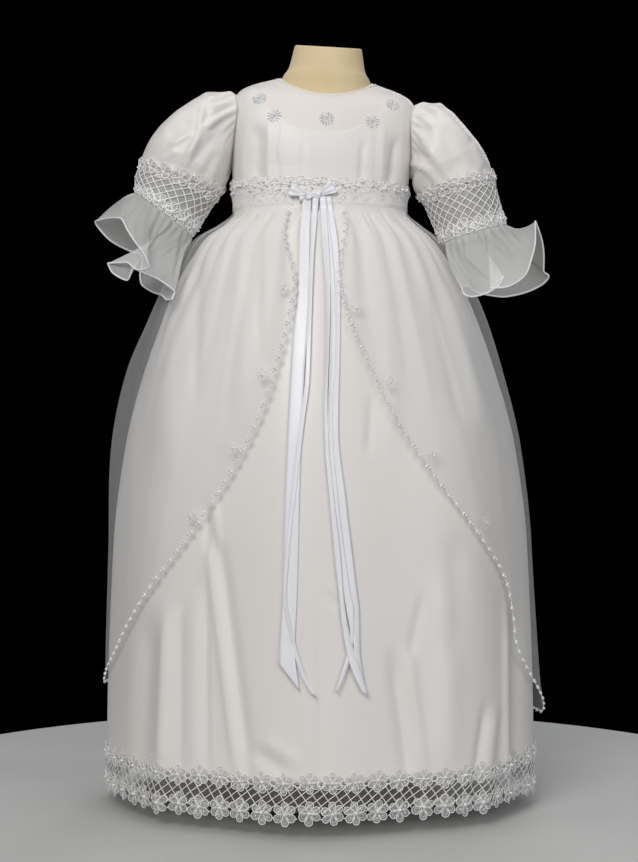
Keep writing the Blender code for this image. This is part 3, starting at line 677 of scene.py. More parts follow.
def material(name, colour, roughness, grain, dark, light, spread=6.0, weave=None, **sockets):
    """A cloth or bead with a soft change of colour from dark to light and a fine bump.

    grain is the bump's scale, strength and depth in metres, spread the scale of the change.
    """
    made = bpy.data.materials.new(name)
    made.use_nodes = True
    nodes, links = made.node_tree.nodes, made.node_tree.links
    shader = set_sockets(nodes["Principled BSDF"], Base_Color=(*colour, 1.0), Roughness=roughness, **sockets)

    def add(kind, **values):
        return set_sockets(nodes.new("ShaderNode" + kind), **values)

    place = add("TexCoord").outputs["Object"]

    def noise(scale, detail):
        made_noise = add("TexNoise", Scale=scale, Detail=detail)
        links.new(place, made_noise.inputs["Vector"])
        return made_noise.outputs["Fac"]

    scale, strength, depth = grain
    height = noise(scale, 3.0)
    if weave:
        wave = add("TexWave", Scale=weave, Distortion=0.6)
        wave.bands_direction = "Z"
        links.new(place, wave.inputs["Vector"])
        both = add("Math")
        both.operation = "ADD"
        links.new(height, both.inputs[0])
        links.new(wave.outputs["Fac"], both.inputs[1])
        height = both.outputs["Value"]
    relief = add("Bump", Strength=strength, Distance=depth)
    links.new(height, relief.inputs["Height"])
    links.new(relief.outputs["Normal"], shader.inputs["Normal"])
    ramp = add("ValToRGB")
    for stop, share, shade in zip(ramp.color_ramp.elements, (0.3, 0.7), (dark, light)):
        stop.position, stop.color = share, (*shade, 1.0)
    links.new(noise(spread, 2.0), ramp.inputs["Fac"])
    links.new(ramp.outputs["Color"], shader.inputs["Base Color"])
    return made


SHEER_GRAIN = (1400.0, 0.08, 0.0002)
NET_GRAIN = (1800.0, 0.1, 0.0002)

satin = material("satin", (0.80, 0.77, 0.74), 0.42, (900.0, 0.10, 0.0003), (0.80, 0.765, 0.725),
                 (0.80, 0.78, 0.755), 5.0, Sheen_Weight=0.15, Sheen_Roughness=0.4)
organza = material("organza", (0.88, 0.88, 0.87), 0.5, SHEER_GRAIN, (0.86, 0.86, 0.855),
                   (0.90, 0.90, 0.90), 8.0, Alpha=0.24, Sheen_Weight=0.3)
ruffle_look = material("ruffle_organza", (0.88, 0.88, 0.865), 0.5, SHEER_GRAIN, (0.85, 0.85, 0.83),
                       (0.90, 0.90, 0.89), 14.0, Alpha=0.40, Sheen_Weight=0.3)
yoke_look = material("yoke_organza", (0.86, 0.815, 0.775), 0.5, SHEER_GRAIN, (0.84, 0.795, 0.75),
                     (0.87, 0.83, 0.79), 14.0, Alpha=0.90, Sheen_Weight=0.3)
thread = material("lace_thread", (0.91, 0.90, 0.885), 0.55, (2200.0, 0.06, 0.0002), (0.89, 0.875, 0.86),
                  (0.93, 0.925, 0.915), 30.0, Sheen_Weight=0.4)
silver_thread = material("silver_thread", (0.87, 0.87, 0.89), 0.38, (2200.0, 0.08, 0.0002),
                         (0.84, 0.84, 0.87), (0.90, 0.90, 0.91), 60.0, Sheen_Weight=0.3)
rolled = material("rolled_edge", (0.83, 0.83, 0.83), 0.5, (2600.0, 0.25, 0.0003), (0.80, 0.80, 0.80),
                  (0.86, 0.86, 0.86), 60.0)
bead_look = material("bead", (0.88, 0.875, 0.87), 0.12, (300.0, 0.05, 0.0002), (0.80, 0.80, 0.82),
                     (0.92, 0.91, 0.89), 120.0, Coat_Weight=0.9, Coat_Roughness=0.05)
ribbon_look = material("ribbon", (0.85, 0.85, 0.89), 0.34, (1200.0, 0.12, 0.0002), (0.83, 0.83, 0.88),
                       (0.87, 0.87, 0.89), 40.0, Sheen_Weight=0.2)
film_look = material("petal_net", (0.86, 0.855, 0.84), 0.6, (1800.0, 0.05, 0.0002), (0.84, 0.83, 0.81),
                     (0.88, 0.88, 0.87), 50.0, Alpha=0.30)
net_look = material("cuff_net", (0.78, 0.77, 0.745), 0.6, NET_GRAIN, (0.74, 0.73, 0.70),
                    (0.82, 0.81, 0.79), 50.0, Alpha=0.42)
hem_net_look = material("hem_net", (0.56, 0.53, 0.46), 0.6, NET_GRAIN, (0.52, 0.49, 0.42),
                        (0.60, 0.57, 0.50), 50.0, Alpha=0.16)
band_look = material("band_net", (0.82, 0.795, 0.77), 0.6, (1500.0, 0.25, 0.0004), (0.79, 0.76, 0.73),
                     (0.86, 0.84, 0.82), 260.0, Sheen_Weight=0.2)
jersey = material("form_jersey", (0.73, 0.585, 0.35), 0.85, (700.0, 0.35, 0.0004), (0.69, 0.55, 0.32),
                  (0.77, 0.62, 0.38), 18.0, weave=260.0, Sheen_Weight=0.2)
metal = material("stand_metal", (0.06, 0.055, 0.05), 0.5, (800.0, 0.15, 0.0003), (0.05, 0.045, 0.04),
                 (0.08, 0.075, 0.07), 9.0, Metallic=0.6)


# Dress form and stand

FORM_COLUMNS = 72
FORM_ROWS = 74
CAP_RISE = 0.0009


def make_form():
    angles = turns_of(FORM_COLUMNS)
    rings = [torso_point(angles, ring.level, -ring.inset * MM) for ring in FORM_RINGS]
    for row in NECK:
        x, y = section(row.side * MM, row.depth * MM, row.depth * MM, angles, 2.0)
        drop = NECK_TILT * np.maximum(0.0, -y) * smooth((row.height - NECK_TILT_FROM) / NECK_TILT_OVER)
        rings.append(lean(point(x, y, row.height * MM - drop)))
    top, bottom = rings[-1], rings[0]
    base = [mix(bottom, bottom.mean(axis=0), share) for share in (0.97, 0.6, 0.2)]
    cap = [mix(top, top.mean(axis=0), share) + (0, 0, CAP_RISE * (1 - (1 - share) ** 2))
           for share in (0.15, 0.4, 0.7, 0.97)]
    grid = np.concatenate([np.array(base), loft(rings, FORM_ROWS), np.array(cap)])
    cloth("form_cover", grid, jersey, "form_cover", ["dress_form"], shell=0, closed=True)
    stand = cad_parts["stand"]
    stand.data.materials.clear()
    stand.data.materials.append(metal)


make_form()


# Bodice

# How far the bodice's panels reach under the armhole seams and stop short of the back seam, as angles
PANEL_LAP = 0.006
BACK_SEAM = 0.0002
SATIN_OFF = 0.0009
YOKE_OFF = 0.0006
PANEL_FOOT = 1.97


def front_edges(level):
    """Angles where the front begins and ends at a level."""
    swing = armhole_swing(level)
    return pi + swing - PANEL_LAP, tau - swing + PANEL_LAP


def back_edges(level):
    return armhole_swing(level) - PANEL_LAP, 0.5 * pi - BACK_SEAM


def left_back_edges(level):
    return 0.5 * pi + BACK_SEAM, pi - armhole_swing(level) + PANEL_LAP


def panel_grid(edges, levels, columns, off):
    """A grid whose columns run between two edges."""
    level = levels if levels.ndim == 2 else np.repeat(levels[:, None], columns, axis=1)
    start, end = edges(level)
    return torso_point(mix(start, end, across(columns)), level, off)


BODICE_FOLDS = rows_of(
    Fold,
    (259, 124, 257, 186, 6.2, -3.4),
    (269, 122, 268, 186, 2.6, 1.6),
    (280, 116, 275, 152, 1.6, -0.7),
    (275, 145, 280, 186, 1.8, -0.9),
    (303, 140, 303, 186, 1.8, -0.9),
    (308, 142, 309, 186, 4.0, 0.6),
    (363, 138, 361, 186, 3.6, -2.2),
    (370, 124, 370, 186, 4.0, 0.8),
    (383, 120, 381, 186, 4.5, 1.6),
    (396, 136, 390, 188, 4.6, -3.4),
    (402, 120, 401, 186, 3.5, 1.0),
    (247, 108, 243, 186, 4.5, 1.4),
    (237, 130, 238, 186, 3.0, -0.8),
)


# Soft folds of the backs: share of the way to the back seam, width as a share, depth in millimetres
BACK_FOLDS = ((0.3, 0.035, -1.0), (0.62, 0.03, -0.8), (0.82, 0.03, 0.8))


def make_bodice():
    columns, rows, yoke_rows = 110, 84, 40
    scoop = scoop_level(across(columns))
    levels = mix(PANEL_FOOT, scoop, upward(rows))
    grid = panel_grid(front_edges, levels, columns, SATIN_OFF)
    grid = raised(grid, fold_lift(BODICE_FOLDS, grid))
    front = panel("bodice_front", "satin", grid, satin)

    levels = mix(scoop + 0.03, 0.0, upward(yoke_rows))
    grid = panel_grid(front_edges, levels, columns, YOKE_OFF)
    yoke = panel("yoke_front", "sheer", grid, yoke_look, shell=SHEER_SHELL)

    columns, rows = 56, 70
    u, v = across(columns), upward(rows)
    fade = smooth((v - 0.1) / 0.2) * smooth((0.7 - v) / 0.2)
    backs = []
    for name in ("right", "left"):
        if name == "right":
            edges, centres = back_edges, [place for place, _, _ in BACK_FOLDS]
        else:
            edges, centres = left_back_edges, [1 - place for place, _, _ in BACK_FOLDS]
        grid = panel_grid(edges, np.linspace(PANEL_FOOT, 0.0, rows), columns, SATIN_OFF)
        lift = sum(depth * MM * bump(u + 0.03 * v, centre, width) * fade
                   for centre, (_, width, depth) in zip(centres, BACK_FOLDS))
        backs.append(panel(f"bodice_back_{name}", "satin", raised(grid, lift), satin))
    return front, yoke, backs


bodice_front, yoke, bodice_backs = make_bodice()


# Satin skirt

# The creases at the sides and behind: angles and widths in degrees, depths in millimetres
Crease = namedtuple("Crease", "angle swing width depth")
CREASE_HEAD = 560
OVER_CREASE_HEAD = 600
CREASE_FOOT = 62
CREASE_FADE = 160
SKIRT_CREASES = rows_of(
    Crease,
    (356, -2, 3.4, 3),
    (12, 0, 3.0, -5),
    (26, 0, 3.8, 4),
    (41, 0, 3.0, -5),
    (57, 0, 3.6, 3),
    (73, 0, 2.8, -4),
    (90, 0, 3.6, 3),
    (106, 0, 2.8, -4),
    (121, 0, 3.8, 4),
    (137, 0, 3.0, -5),
    (154, 0, 3.6, 4),
    (168, 0, 3.0, -5),
    (181, 0, 3.4, 3),
)


def crease_lift(creases, head, angle, height):
    """How far the listed creases move the cloth out, in metres."""
    lift = np.zeros(np.broadcast(angle, height).shape)
    degrees = np.degrees(angle) % 360
    run = smooth((head - height / MM) / CREASE_FADE)
    for crease in creases:
        centre = crease.angle + crease.swing * (height / MM - CREASE_FOOT) / (head - CREASE_FOOT)
        gap = (degrees - centre + 180) % 360 - 180
        lift = lift + crease.depth * MM * bump(gap, 0.0, crease.width) * run
    return lift


SATIN_FOLDS = rows_of(
    Fold,
    (178, 225, 168, 480, 13, 4.0),
    (199, 245, 194, 410, 6, -3.0),
    (246, 240, 240, 420, 9, 1.5),
    (262, 225, 258, 360, 5, -1.5),
    (181, 600, 180, 790, 4, -2.0),
    (195, 590, 195, 790, 7, 2.4),
    (206, 575, 207, 790, 3, -2.4),
    (206, 515, 239, 790, 4.5, 3.6),
    (215, 520, 251, 790, 7, -5.4),
    (168, 600, 161, 790, 7, 5.0),
    (149, 610, 139, 790, 10, -6.0),
    (206, 498, 208, 556, 3.5, -3.4),
    (214, 500, 220, 550, 3, 3.0),
    (176, 616, 203, 573, 3, -1.8),
    (250, 748, 288, 774, 6, -3.4),
    (262, 738, 304, 766, 5, 2.0),
    (321, 500, 322, 800, 6, -1.8),
    (310, 560, 309, 800, 7, 1.2),
    (325, 592, 338, 605, 2.5, -1.6),
    (327, 586, 342, 598, 2.5, 1.2),
    (392, 648, 411, 790, 7, -4.4),
    (405, 640, 425, 790, 7, 2.6),
    (425, 592, 409, 658, 5, -1.8),
    (372, 395, 368, 455, 4, -1.8),
    (458, 530, 450, 670, 12, -2.4),
    (446, 560, 446, 790, 15, 4.4),
    (505, 600, 506, 800, 3, 3.6),
    (515, 600, 516, 800, 6, -6.0),
    (486, 700, 472, 795, 4, -2.8),
    (495, 704, 484, 795, 5, 3.0),
    (501, 712, 496, 795, 3.4, -2.0),
    (430, 285, 465, 430, 7, -3.4),
    (446, 275, 485, 440, 10, 3.6),
    (384, 235, 392, 470, 8, 1.4),
)


SATIN_GATHER = 0.0008
SKIRT_TOP = 0.6720
GATHERED_BELOW = 0.6615


def front_share(angle):
    """1 in front, 0 behind, soft between."""
    return smooth(0.5 - np.sin(angle) * 4.0)


def satin_lift(angle, height):
    """Creases and fine gathers of the satin skirt: placed from the photograph in front, alike behind."""
    fine = SATIN_GATHER * np.cos(64 * angle + 3.3 * np.sin(5 * angle)) * smooth((height - 0.61) / 0.04)
    front = front_share(angle)
    seen_folds = fold_lift(SATIN_FOLDS, skirt_point(angle, height, 0.0))
    hidden = 0.7 * crease_lift(SKIRT_CREASES, CREASE_HEAD, angle, height)
    return (front * seen_folds + (1 - front) * hidden + fine) * smooth((GATHERED_BELOW - height) / 0.012)


def make_skirt():
    rows, columns = 108, 214
    heights = np.linspace(SATIN_HEM, SKIRT_TOP, rows)[:, None]
    made = []
    for name, start in (("front", pi), ("back", 0.0)):
        angles = mix(start, start + pi, np.linspace(0, 1, columns))[None, :]
        grid = skirt_point(angles, heights, 0.0003 + satin_lift(angles, heights))
        made.append(panel(f"skirt_{name}", "satin", grid, satin))
    return made


skirts = make_skirt()


# Sheer overskirt

OVER_CREASES = rows_of(
    Crease,
    (8, 0, 2.6, 3),
    (24, 0, 3.0, 3),
    (42, 0, 2.6, 3),
    (60, 0, 3.0, 3),
    (79, 0, 2.6, 3),
    (99, 0, 2.6, 3),
    (118, 0, 3.0, 3),
    (139, 0, 2.6, 3),
    (158, 0, 3.0, 3),
    (173, 0, 2.6, 3),
)


OVER_FOLDS_SEEN = rows_of(
    Fold,
    (238, 214, 196, 390, 3.0, 2.6),
    (250, 214, 214, 470, 3.2, 2.4),
    (262, 214, 240, 380, 2.6, 2.0),
    (274, 214, 262, 330, 2.6, 2.2),
    (285, 214, 287, 300, 2.4, 1.8),
    (226, 216, 160, 420, 4.0, 2.6),
    (214, 222, 132, 480, 5.0, 2.6),
    (150, 360, 122, 640, 5.0, 2.2),
    (190, 400, 150, 600, 5.0, 1.8),
    (352, 214, 356, 300, 2.4, 1.8),
    (362, 214, 378, 340, 2.6, 2.2),
    (374, 214, 404, 400, 3.0, 2.2),
    (388, 214, 436, 430, 3.4, 2.4),
    (402, 216, 470, 430, 4.0, 2.6),
    (416, 222, 504, 470, 5.0, 2.6),
    (486, 380, 520, 640, 5.0, 2.2),
    (450, 400, 492, 560, 5.0, 1.8),
)


OVER_GATHER = 0.0005
OVER_TOP = 0.6700
OVER_BACK_SEAM = 0.003


def over_lift(angle, height):
    """Ridges and gathers of the overskirt, which also clear those of the satin under it."""
    fine = OVER_GATHER * (1 + np.cos(74 * angle + 3.7 * np.sin(4 * angle))) * smooth((height - 0.58) / 0.08)
    gather = table_at(OVERSKIRT, height).gather * (1 + np.cos(34 * angle + 2.8 * np.sin(3 * angle))) / 4
    front = front_share(angle)
    placed = fold_lift(OVER_FOLDS_SEEN, skirt_point(angle, height, 0.008)) * front
    ridge = np.maximum(crease_lift(OVER_CREASES, OVER_CREASE_HEAD, angle, height), 0) * 0.7 * (1 - front)
    ridge = ridge + np.maximum(placed, 0) + np.maximum(satin_lift(angle, height), 0)
    return (ridge + fine + gather) * smooth((GATHERED_BELOW - height) / 0.01)


def over_layout(sightings, rows, columns, back):
    """Angles and heights of one overskirt half, from its front edge to the back seam."""
    edge_angles, edge_heights = np.array([on_overskirt(sighting) for sighting in sightings])[::-1].T
    up = upward(rows)
    share = across(columns)
    edge_height = mix(edge_heights[0], OVER_TOP, up)
    edge_angle = curve(edge_heights, edge_angles[:, None], edge_height[:, 0])
    return mix(edge_angle, back, share), mix(edge_height, mix(OVER_BACK_HEM, OVER_TOP, up), smooth(share))


def make_overskirt():
    rows, columns = 100, 200
    made = {}
    for side, sightings, back in (("left", EDGE_LEFT, 0.5 * pi + OVER_BACK_SEAM),
                                  ("right", EDGE_RIGHT, 2.5 * pi - OVER_BACK_SEAM)):
        angle, height = over_layout(sightings, rows, columns, back)
        if side == "left":
            angle, height = angle[:, ::-1], height[:, ::-1]
        grid = over_point(angle, height, 0.0004 + over_lift(angle, height))
        piece = panel(f"overskirt_{side}", "sheer", grid, organza, shell=0)
        made[side] = (piece, grid)
    return made


overskirts = make_overskirt()


# Sleeves, cuffs and ruffles

def ring_points(ring, turns, wave):
    """Points of sleeve rings: turn 0 is the outer end, a quarter turn the front."""
    outer = sighted(ring.outer_x, ring.outer_z, ring.forward)
    inner = sighted(ring.inner_x, ring.inner_z, ring.forward)
    reach = (outer - inner) / 2
    down = unit(point(reach[..., 2], 0.0, -reach[..., 0]))
    down = down * np.where(reach[..., 0:1] < 0, -1.0, 1.0)
    front = point(0.0, -ring.depth, 0.0) + down * np.asarray(ring.drop)[..., None]
    spoke = reach * np.cos(turns)[..., None] + front * np.sin(turns)[..., None]
    return (outer + inner) / 2 + spoke + unit(spoke) * np.asarray(ring.wave * wave)[..., None]


def tube_grid(table, shares, turns, wave=0.0):
    """Rings at shares of the way along a table of rings."""
    row = table_along(table, shares)
    wide = type(row)(*(np.repeat(np.asarray(v)[:, None], len(turns), axis=1) for v in row))
    return ring_points(wide, np.repeat(turns[None, :], len(shares), axis=0), wave)


def armhole_seam(side, turns, widened):
    """Angles and levels of the seam round an armhole, widened by an angle."""
    level = mix(SHOULDER_TIP - 0.02, 0.995, (1 - np.cos(turns)) / 2)
    swing = (ARMHOLE_SWING + widened) * np.sin(turns)
    return tau - swing if side > 0 else pi + swing, level


SLEEVE_FOLDS = {
    "left": rows_of(
        Fold,
        (236, 94, 205, 99, 2.0, -2.2),
        (236, 100, 207, 110, 2.0, -2.6),
        (236, 97, 209, 104, 2.0, 1.8),
        (236, 104, 204, 119, 2.0, 1.8),
        (236, 107, 200, 130, 3.0, -3.2),
        (203, 127, 186, 158, 4.0, -2.8),
        (226, 122, 190, 166, 6.0, 2.4),
        (230, 112, 208, 133, 3.0, 1.8),
        (200, 134, 183, 170, 3.0, -2.0),
        (228, 138, 206, 186, 5.0, -1.8),
        (218, 150, 198, 188, 5.0, 1.6),
        (203, 104, 198, 134, 2.4, -1.8),
        (210, 102, 205, 128, 3.0, 1.6),
        (196, 131, 168, 146, 3.0, -2.0),
        (192, 121, 166, 136, 5.0, 1.8),
        (186, 108, 160, 134, 4.0, -1.2),
        (178, 150, 160, 162, 3.0, -1.2),
    ),
    "right": rows_of(
        Fold,
        (419, 104, 452, 117, 2.4, -2.6),
        (446, 115, 471, 142, 3.0, -1.9),
        (425, 100, 456, 111, 3.0, 0.8),
        (454, 113, 479, 140, 3.4, 0.6),
        (418, 115, 436, 128, 3.0, -2.2),
        (420, 109, 444, 121, 3.0, 1.6),
        (418, 130, 438, 162, 5.0, -2.6),
        (436, 155, 452, 186, 5.0, -2.0),
        (440, 126, 462, 174, 8.0, 2.4),
        (410, 162, 430, 170, 4.0, -2.6),
        (426, 167, 444, 188, 4.0, -2.0),
        (413, 150, 430, 160, 4.0, 1.8),
        (472, 140, 484, 170, 4.0, -1.4),
    ),
}


SLEEVE_START = 0.16
HEAD_GATHER = 0.0011
FOOT_GATHER = 0.0013


def make_sleeve(side, name, table):
    """A puffed sleeve from the armhole to the cuff, gathered at both."""
    columns, rows = 190, 70
    turns = turns_of(columns)
    shares = np.linspace(SLEEVE_START, 1, 10)
    angle, level = armhole_seam(side, turns, radians(1.5))
    first = torso_point(angle, level, CLOTH_CLEARANCE + SATIN_WALL + 2 * SEAM_GAP)
    rings = np.concatenate([first[None], tube_grid(table, shares, turns)])
    grid = loft(rings, rows, np.concatenate([[0.0], shares]))
    v, t = upward(rows), turns[None, :]
    head = smooth((0.20 - v) / 0.18) * smooth(v / 0.03)
    foot = smooth((v - 0.80) / 0.18)
    crown = 0.2 + 0.8 * np.maximum(0, np.cos(t / 2)) ** 2
    lift = HEAD_GATHER * head * crown * np.cos(25 * t + 2.6 * np.sin(2 * t + 1.0) + 3.0 * v)
    lift = lift + FOOT_GATHER * foot * np.cos(21 * t + 2.2 * np.sin(3 * t) + 4.0 * (1 - v))
    lift = lift + 1.15 * fold_lift(SLEEVE_FOLDS[name], grid) * smooth(v / 0.02) * smooth((1 - v) / 0.06)
    grid = raised(grid, lift if side < 0 else -lift, closed=True)
    if side < 0:
        grid = grid[::-1]
    return panel(f"sleeve_{name}", "satin", grid, satin, closed=True)


sleeves = {"left": make_sleeve(-1, "left", SLEEVE_LEFT), "right": make_sleeve(1, "right", SLEEVE_RIGHT)}


# The ruffles' hems: degrees round the cuff, where the photograph shows them and millimetres forward
HemPoint = namedtuple("HemPoint", "turn px py forward")
RUFFLE_HEM_LEFT = rows_of(
    HemPoint,
    (0, 95, 222, 62),
    (15, 107, 218, 75),
    (30, 120, 218, 95),
    (45, 128, 231, 105),
    (60, 136, 243, 112),
    (70, 144, 254, 112),
    (78, 149, 267, 108),
    (90, 139, 270, 95),
    (97, 133, 268, 88),
    (105, 127, 280, 84),
    (113, 112, 272, 80),
    (120, 107.6, 263, 80),
    (128, 126, 262, 88),
    (137, 134, 268, 90),
    (155, 160, 280, 84),
    (175, 176, 294, 76),
    (190, 173, 299, 78),
    (203, 167, 299.5, 72),
    (214, 161.5, 295, 60),
    (225, 152, 291.5, 44),
    (238, 141, 283, 30),
    (250, 140, 275, 28),
    (280, 143, 256, 30),
    (310, 128, 250, 40),
    (335, 110, 240, 52),
)
RUFFLE_HEM_RIGHT = rows_of(
    HemPoint,
    (0, 535.5, 221, 62),
    (12, 535.6, 232.7, 78),
    (24, 535, 245, 92),
    (36, 531.4, 259, 102),
    (48, 526.5, 273, 108),
    (58, 517.4, 281.7, 108),
    (68, 503.4, 287.3, 104),
    (78, 490, 288, 96),
    (95, 504, 276, 100),
    (105, 499, 284.5, 100),
    (118, 486.5, 293, 98),
    (132, 472.5, 296.5, 92),
    (148, 463.4, 293, 84),
    (165, 461.3, 286, 74),
    (180, 461, 286, 60),
    (200, 470, 290, 40),
    (220, 489.3, 295, 32),
    (240, 503.4, 296.5, 30),
    (260, 517.4, 294.4, 30),
    (280, 531.4, 290, 32),
    (300, 545.4, 281.7, 38),
    (312, 549, 276, 42),
    (325, 543.8, 270.5, 46),
    (335, 544, 256.5, 50),
    (345, 542.6, 242.5, 55),
    (353, 538.4, 228.4, 60),
)
RUFFLE_FLARE = 0.013
RUFFLE_FOLDS = {
    "left": rows_of(
        Fold,
        (181, 222, 166, 296, 2.2, 2.0),
        (185, 226, 173, 296, 2.2, -2.0),
        (171, 218, 146, 258, 3.0, 1.8),
        (164, 214, 138, 252, 3.0, -1.8),
        (178, 242, 154, 259, 1.6, 1.0),
        (152, 204, 124, 240, 3.0, 1.4),
        (146, 200, 112, 222, 2.6, -1.2),
    ),
    "right": rows_of(
        Fold,
        (461, 228, 468, 262, 2.2, 1.6),
        (466, 256, 488, 276, 2.2, 1.6),
        (480, 224, 487, 246, 2.2, 1.8),
        (485, 241, 512, 262, 2.4, 1.8),
        (473, 226, 484, 258, 2.6, -1.8),
        (488, 252, 502, 274, 2.2, 1.4),
        (504, 228, 538, 264, 2.6, 1.4),
        (496, 230, 524, 266, 2.6, -1.4),
    ),
}


def ruffle_hem(table, turns):
    """The ruffle's closed hem as a smooth curve through the places seen in the photograph."""
    rows = np.array(table, float)
    places = seen(rows[:, 1], rows[:, 2], rows[:, 3] * MM)
    degrees = np.concatenate([rows[-3:, 0] - 360, rows[:, 0], rows[:3, 0] + 360])
    return curve(degrees, np.concatenate([places[-3:], places, places[:3]]), np.degrees(turns))


RUFFLE_GATHER = 0.0011
RUFFLE_EDGE = 0.00095


def make_ruffle(side, name, hem_table):
    """A circular ruffle that flares from the cuff to its wavy hem."""
    columns, rows = 250, 32
    turns = turns_of(columns)
    ring = Ring(*(value * MM for value in RUFFLE_TOP[name]))
    top = ring_points(ring, turns, 0.0)
    spread = unit(top - top.mean(axis=0))
    outer, inner = (sighted(x, z, ring.forward)
                    for x, z in ((ring.outer_x, ring.outer_z), (ring.inner_x, ring.inner_z)))
    down = unit(point(outer[2] - inner[2], 0.0, inner[0] - outer[0])) * side
    bend = top + RUFFLE_FLARE * (spread + down)
    v = upward(rows)
    s = v[..., None]
    grid = (1 - s) ** 2 * top + 2 * s * (1 - s) * bend + s * s * ruffle_hem(hem_table, turns)
    gather = RUFFLE_GATHER * np.cos(26 * turns + 1.5 * np.sin(3 * turns))[None, :]
    gather = gather * smooth(v / 0.1) * (1 - smooth(v / 0.8))
    placed = fold_lift(RUFFLE_FOLDS[name], grid) * smooth(v / 0.1) * smooth((1 - v) / 0.15)
    grid = clear_of_skirt(grid + spread[None] * (gather + placed)[..., None], RUFFLE_CLEARANCE)
    hem = -1
    if side < 0:
        grid, hem = grid[::-1], 0
    piece = panel(f"ruffle_{name}", "sheer", grid, ruffle_look, shell=0, closed=True)
    edge = Heap()
    tube(edge, grid[hem], normals(grid, True)[hem], RUFFLE_EDGE, sides=6, closed=True)
    return piece, edge.piece(f"ruffle_{name}_edge", rolled, "sheer")


ruffles = {
    "left": make_ruffle(-1, "left", RUFFLE_HEM_LEFT),
    "right": make_ruffle(1, "right", RUFFLE_HEM_RIGHT),
}


# Lace: threads, looped flowers and beads on a surface

THREAD = 0.00052
THREAD_FLATTENED = 0.55
PETAL_POINTS = 12
FEW_POINTS = 8

# A looped flower's parts as shares of its size; a petal's are ranges
PETAL_REACH = (0.27, 0.31)
PETAL_WIDTH = (0.28, 0.34)
PETAL_LENGTH = (0.40, 0.45)
PETAL_SWAY = 0.10
PETAL_LIFT = 0.0006
INNER_PETAL = 0.55
PETAL_BEAD = 0.045
FLOWER_EYE = 0.11
FLOWER_BEAD = 0.075
BEAD_OFF = 0.0008

# A daisy's
DAISY_TIP = (0.44, 0.50)
DAISY_EYE = 0.06
DAISY_KNOT = 0.032
DAISY_BEAD = 0.035


def jitter(most):
    return chance.uniform(-most, most)


def petal_path(reach, width, length, turn, points=PETAL_POINTS):
    """A closed loop that leans outwards from a flower's centre, in flat x and y."""
    t = turns_of(points)
    along = reach + length / 2 * np.cos(t)
    beside = width / 2 * np.sin(t) * (1 + 0.25 * np.cos(t))
    return along * cos(turn) - beside * sin(turn), along * sin(turn) + beside * cos(turn)


class Lace:
    """Draws in metres on a patch, whose width and height it knows."""

    def __init__(self, patch, wide, tall, lift):
        self.patch, self.wide, self.tall, self.lift = patch, wide, tall, lift
        self.threads, self.beads, self.film = Heap(), Heap(), Heap()

    def place(self, x, y, off=0.0):
        off = self.lift + np.asarray(off)
        return self.patch.at(np.asarray(x) / self.wide, np.asarray(y) / self.tall, off)

    def thread(self, x, y, radius=THREAD, closed=False, off=0.0, sides=4):
        path, normal = self.place(x, y, off)
        tube(self.threads, path, normal, radius, sides, closed, THREAD_FLATTENED)

    def loop(self, petal, x, y, radius=THREAD, off=0.0, sides=4):
        """A closed thread; petal is what petal_path takes."""
        dx, dy = petal_path(*petal)
        self.thread(x + dx, y + dy, radius, closed=True, off=off, sides=sides)

    def bead(self, x, y, radius, off=BEAD_OFF, stretch=(1.0, 1.0, 1.0), turn=0.0):
        centre, normal = self.place(np.array([x]), np.array([y]), off)
        ball(self.beads, centre[0], normal[0], radius, stretch, turn)

    def flower(self, x, y, size, petals=6, turn=0.0, radius=THREAD, filled=True, inner=True, beaded=0.30):
        """Looped petals round a bead; the inner loops and the film fill them as fine stitches do."""
        for k in range(petals):
            way = turn + tau * k / petals + jitter(PETAL_SWAY)
            reach = size * chance.uniform(*PETAL_REACH)
            width = size * chance.uniform(*PETAL_WIDTH) * 6 / petals
            length = size * chance.uniform(*PETAL_LENGTH)
            lift = chance.uniform(0.0, PETAL_LIFT)
            self.loop((reach, width, length, way), x, y, radius, lift)
            if inner:
                petal = (reach * 0.92, width * INNER_PETAL, length * INNER_PETAL, way, FEW_POINTS)
                self.loop(petal, x, y, radius * 0.6, lift, 3)
            if filled:
                dx, dy = petal_path(reach, width, length, way, FEW_POINTS)
                rim, _ = self.place(x + dx, y + dy, lift - 0.0002)
                middle = rim.mean(axis=0, keepdims=True)
                index = np.arange(FEW_POINTS)
                fan = np.stack([np.full(FEW_POINTS, FEW_POINTS), index, (index + 1) % FEW_POINTS], axis=-1)
                self.film.add(np.concatenate([rim, middle]), fan)
            if chance.random() < beaded:
                self.bead(x + reach * cos(way), y + reach * sin(way), size * PETAL_BEAD)
        eye = size * FLOWER_EYE
        self.loop((0.0, eye, eye, turn, FEW_POINTS), x, y, radius * 1.2, BEAD_OFF)
        self.bead(x, y, size * FLOWER_BEAD, off=0.0014)

    def daisy(self, x, y, size, petals):
        """A round flower of many thin petals, wider at their ends, round a matt centre."""
        share = np.linspace(0, 1, 6)
        for k in range(petals):
            way = tau * k / petals + jitter(0.07)
            reach = mix(0.11, chance.uniform(*DAISY_TIP), share) * size
            girth = np.interp(share, (0.0, 0.75, 1.0), (0.016, 0.050, 0.018)) * size
            path, normal = self.place(x + reach * cos(way), y + reach * sin(way), 0.0002 + 0.0006 * share)
            tube(self.threads, path, normal, girth, sides=5, flat=0.45)
        for k in range(6):
            way = tau * k / 6
            at_x, at_y = x + DAISY_EYE * size * cos(way), y + DAISY_EYE * size * sin(way)
            spot, normal = self.place(np.array([at_x]), np.array([at_y]), 0.0009)
            ball(self.threads, spot[0], normal[0], size * DAISY_KNOT)
        self.bead(x, y, size * DAISY_BEAD, off=0.0016)

    def pieces(self, name, slot_name, nodes=(), look=None):
        threads = self.threads.piece(f"{name}_threads", look or thread, slot_name, nodes)
        made = [threads]
        if self.beads.count:
            made.append(self.beads.piece(f"{name}_beads", bead_look, slot_name))
        if self.film.count:
            made.append(self.film.piece(f"{name}_film", film_look, slot_name))
        return made


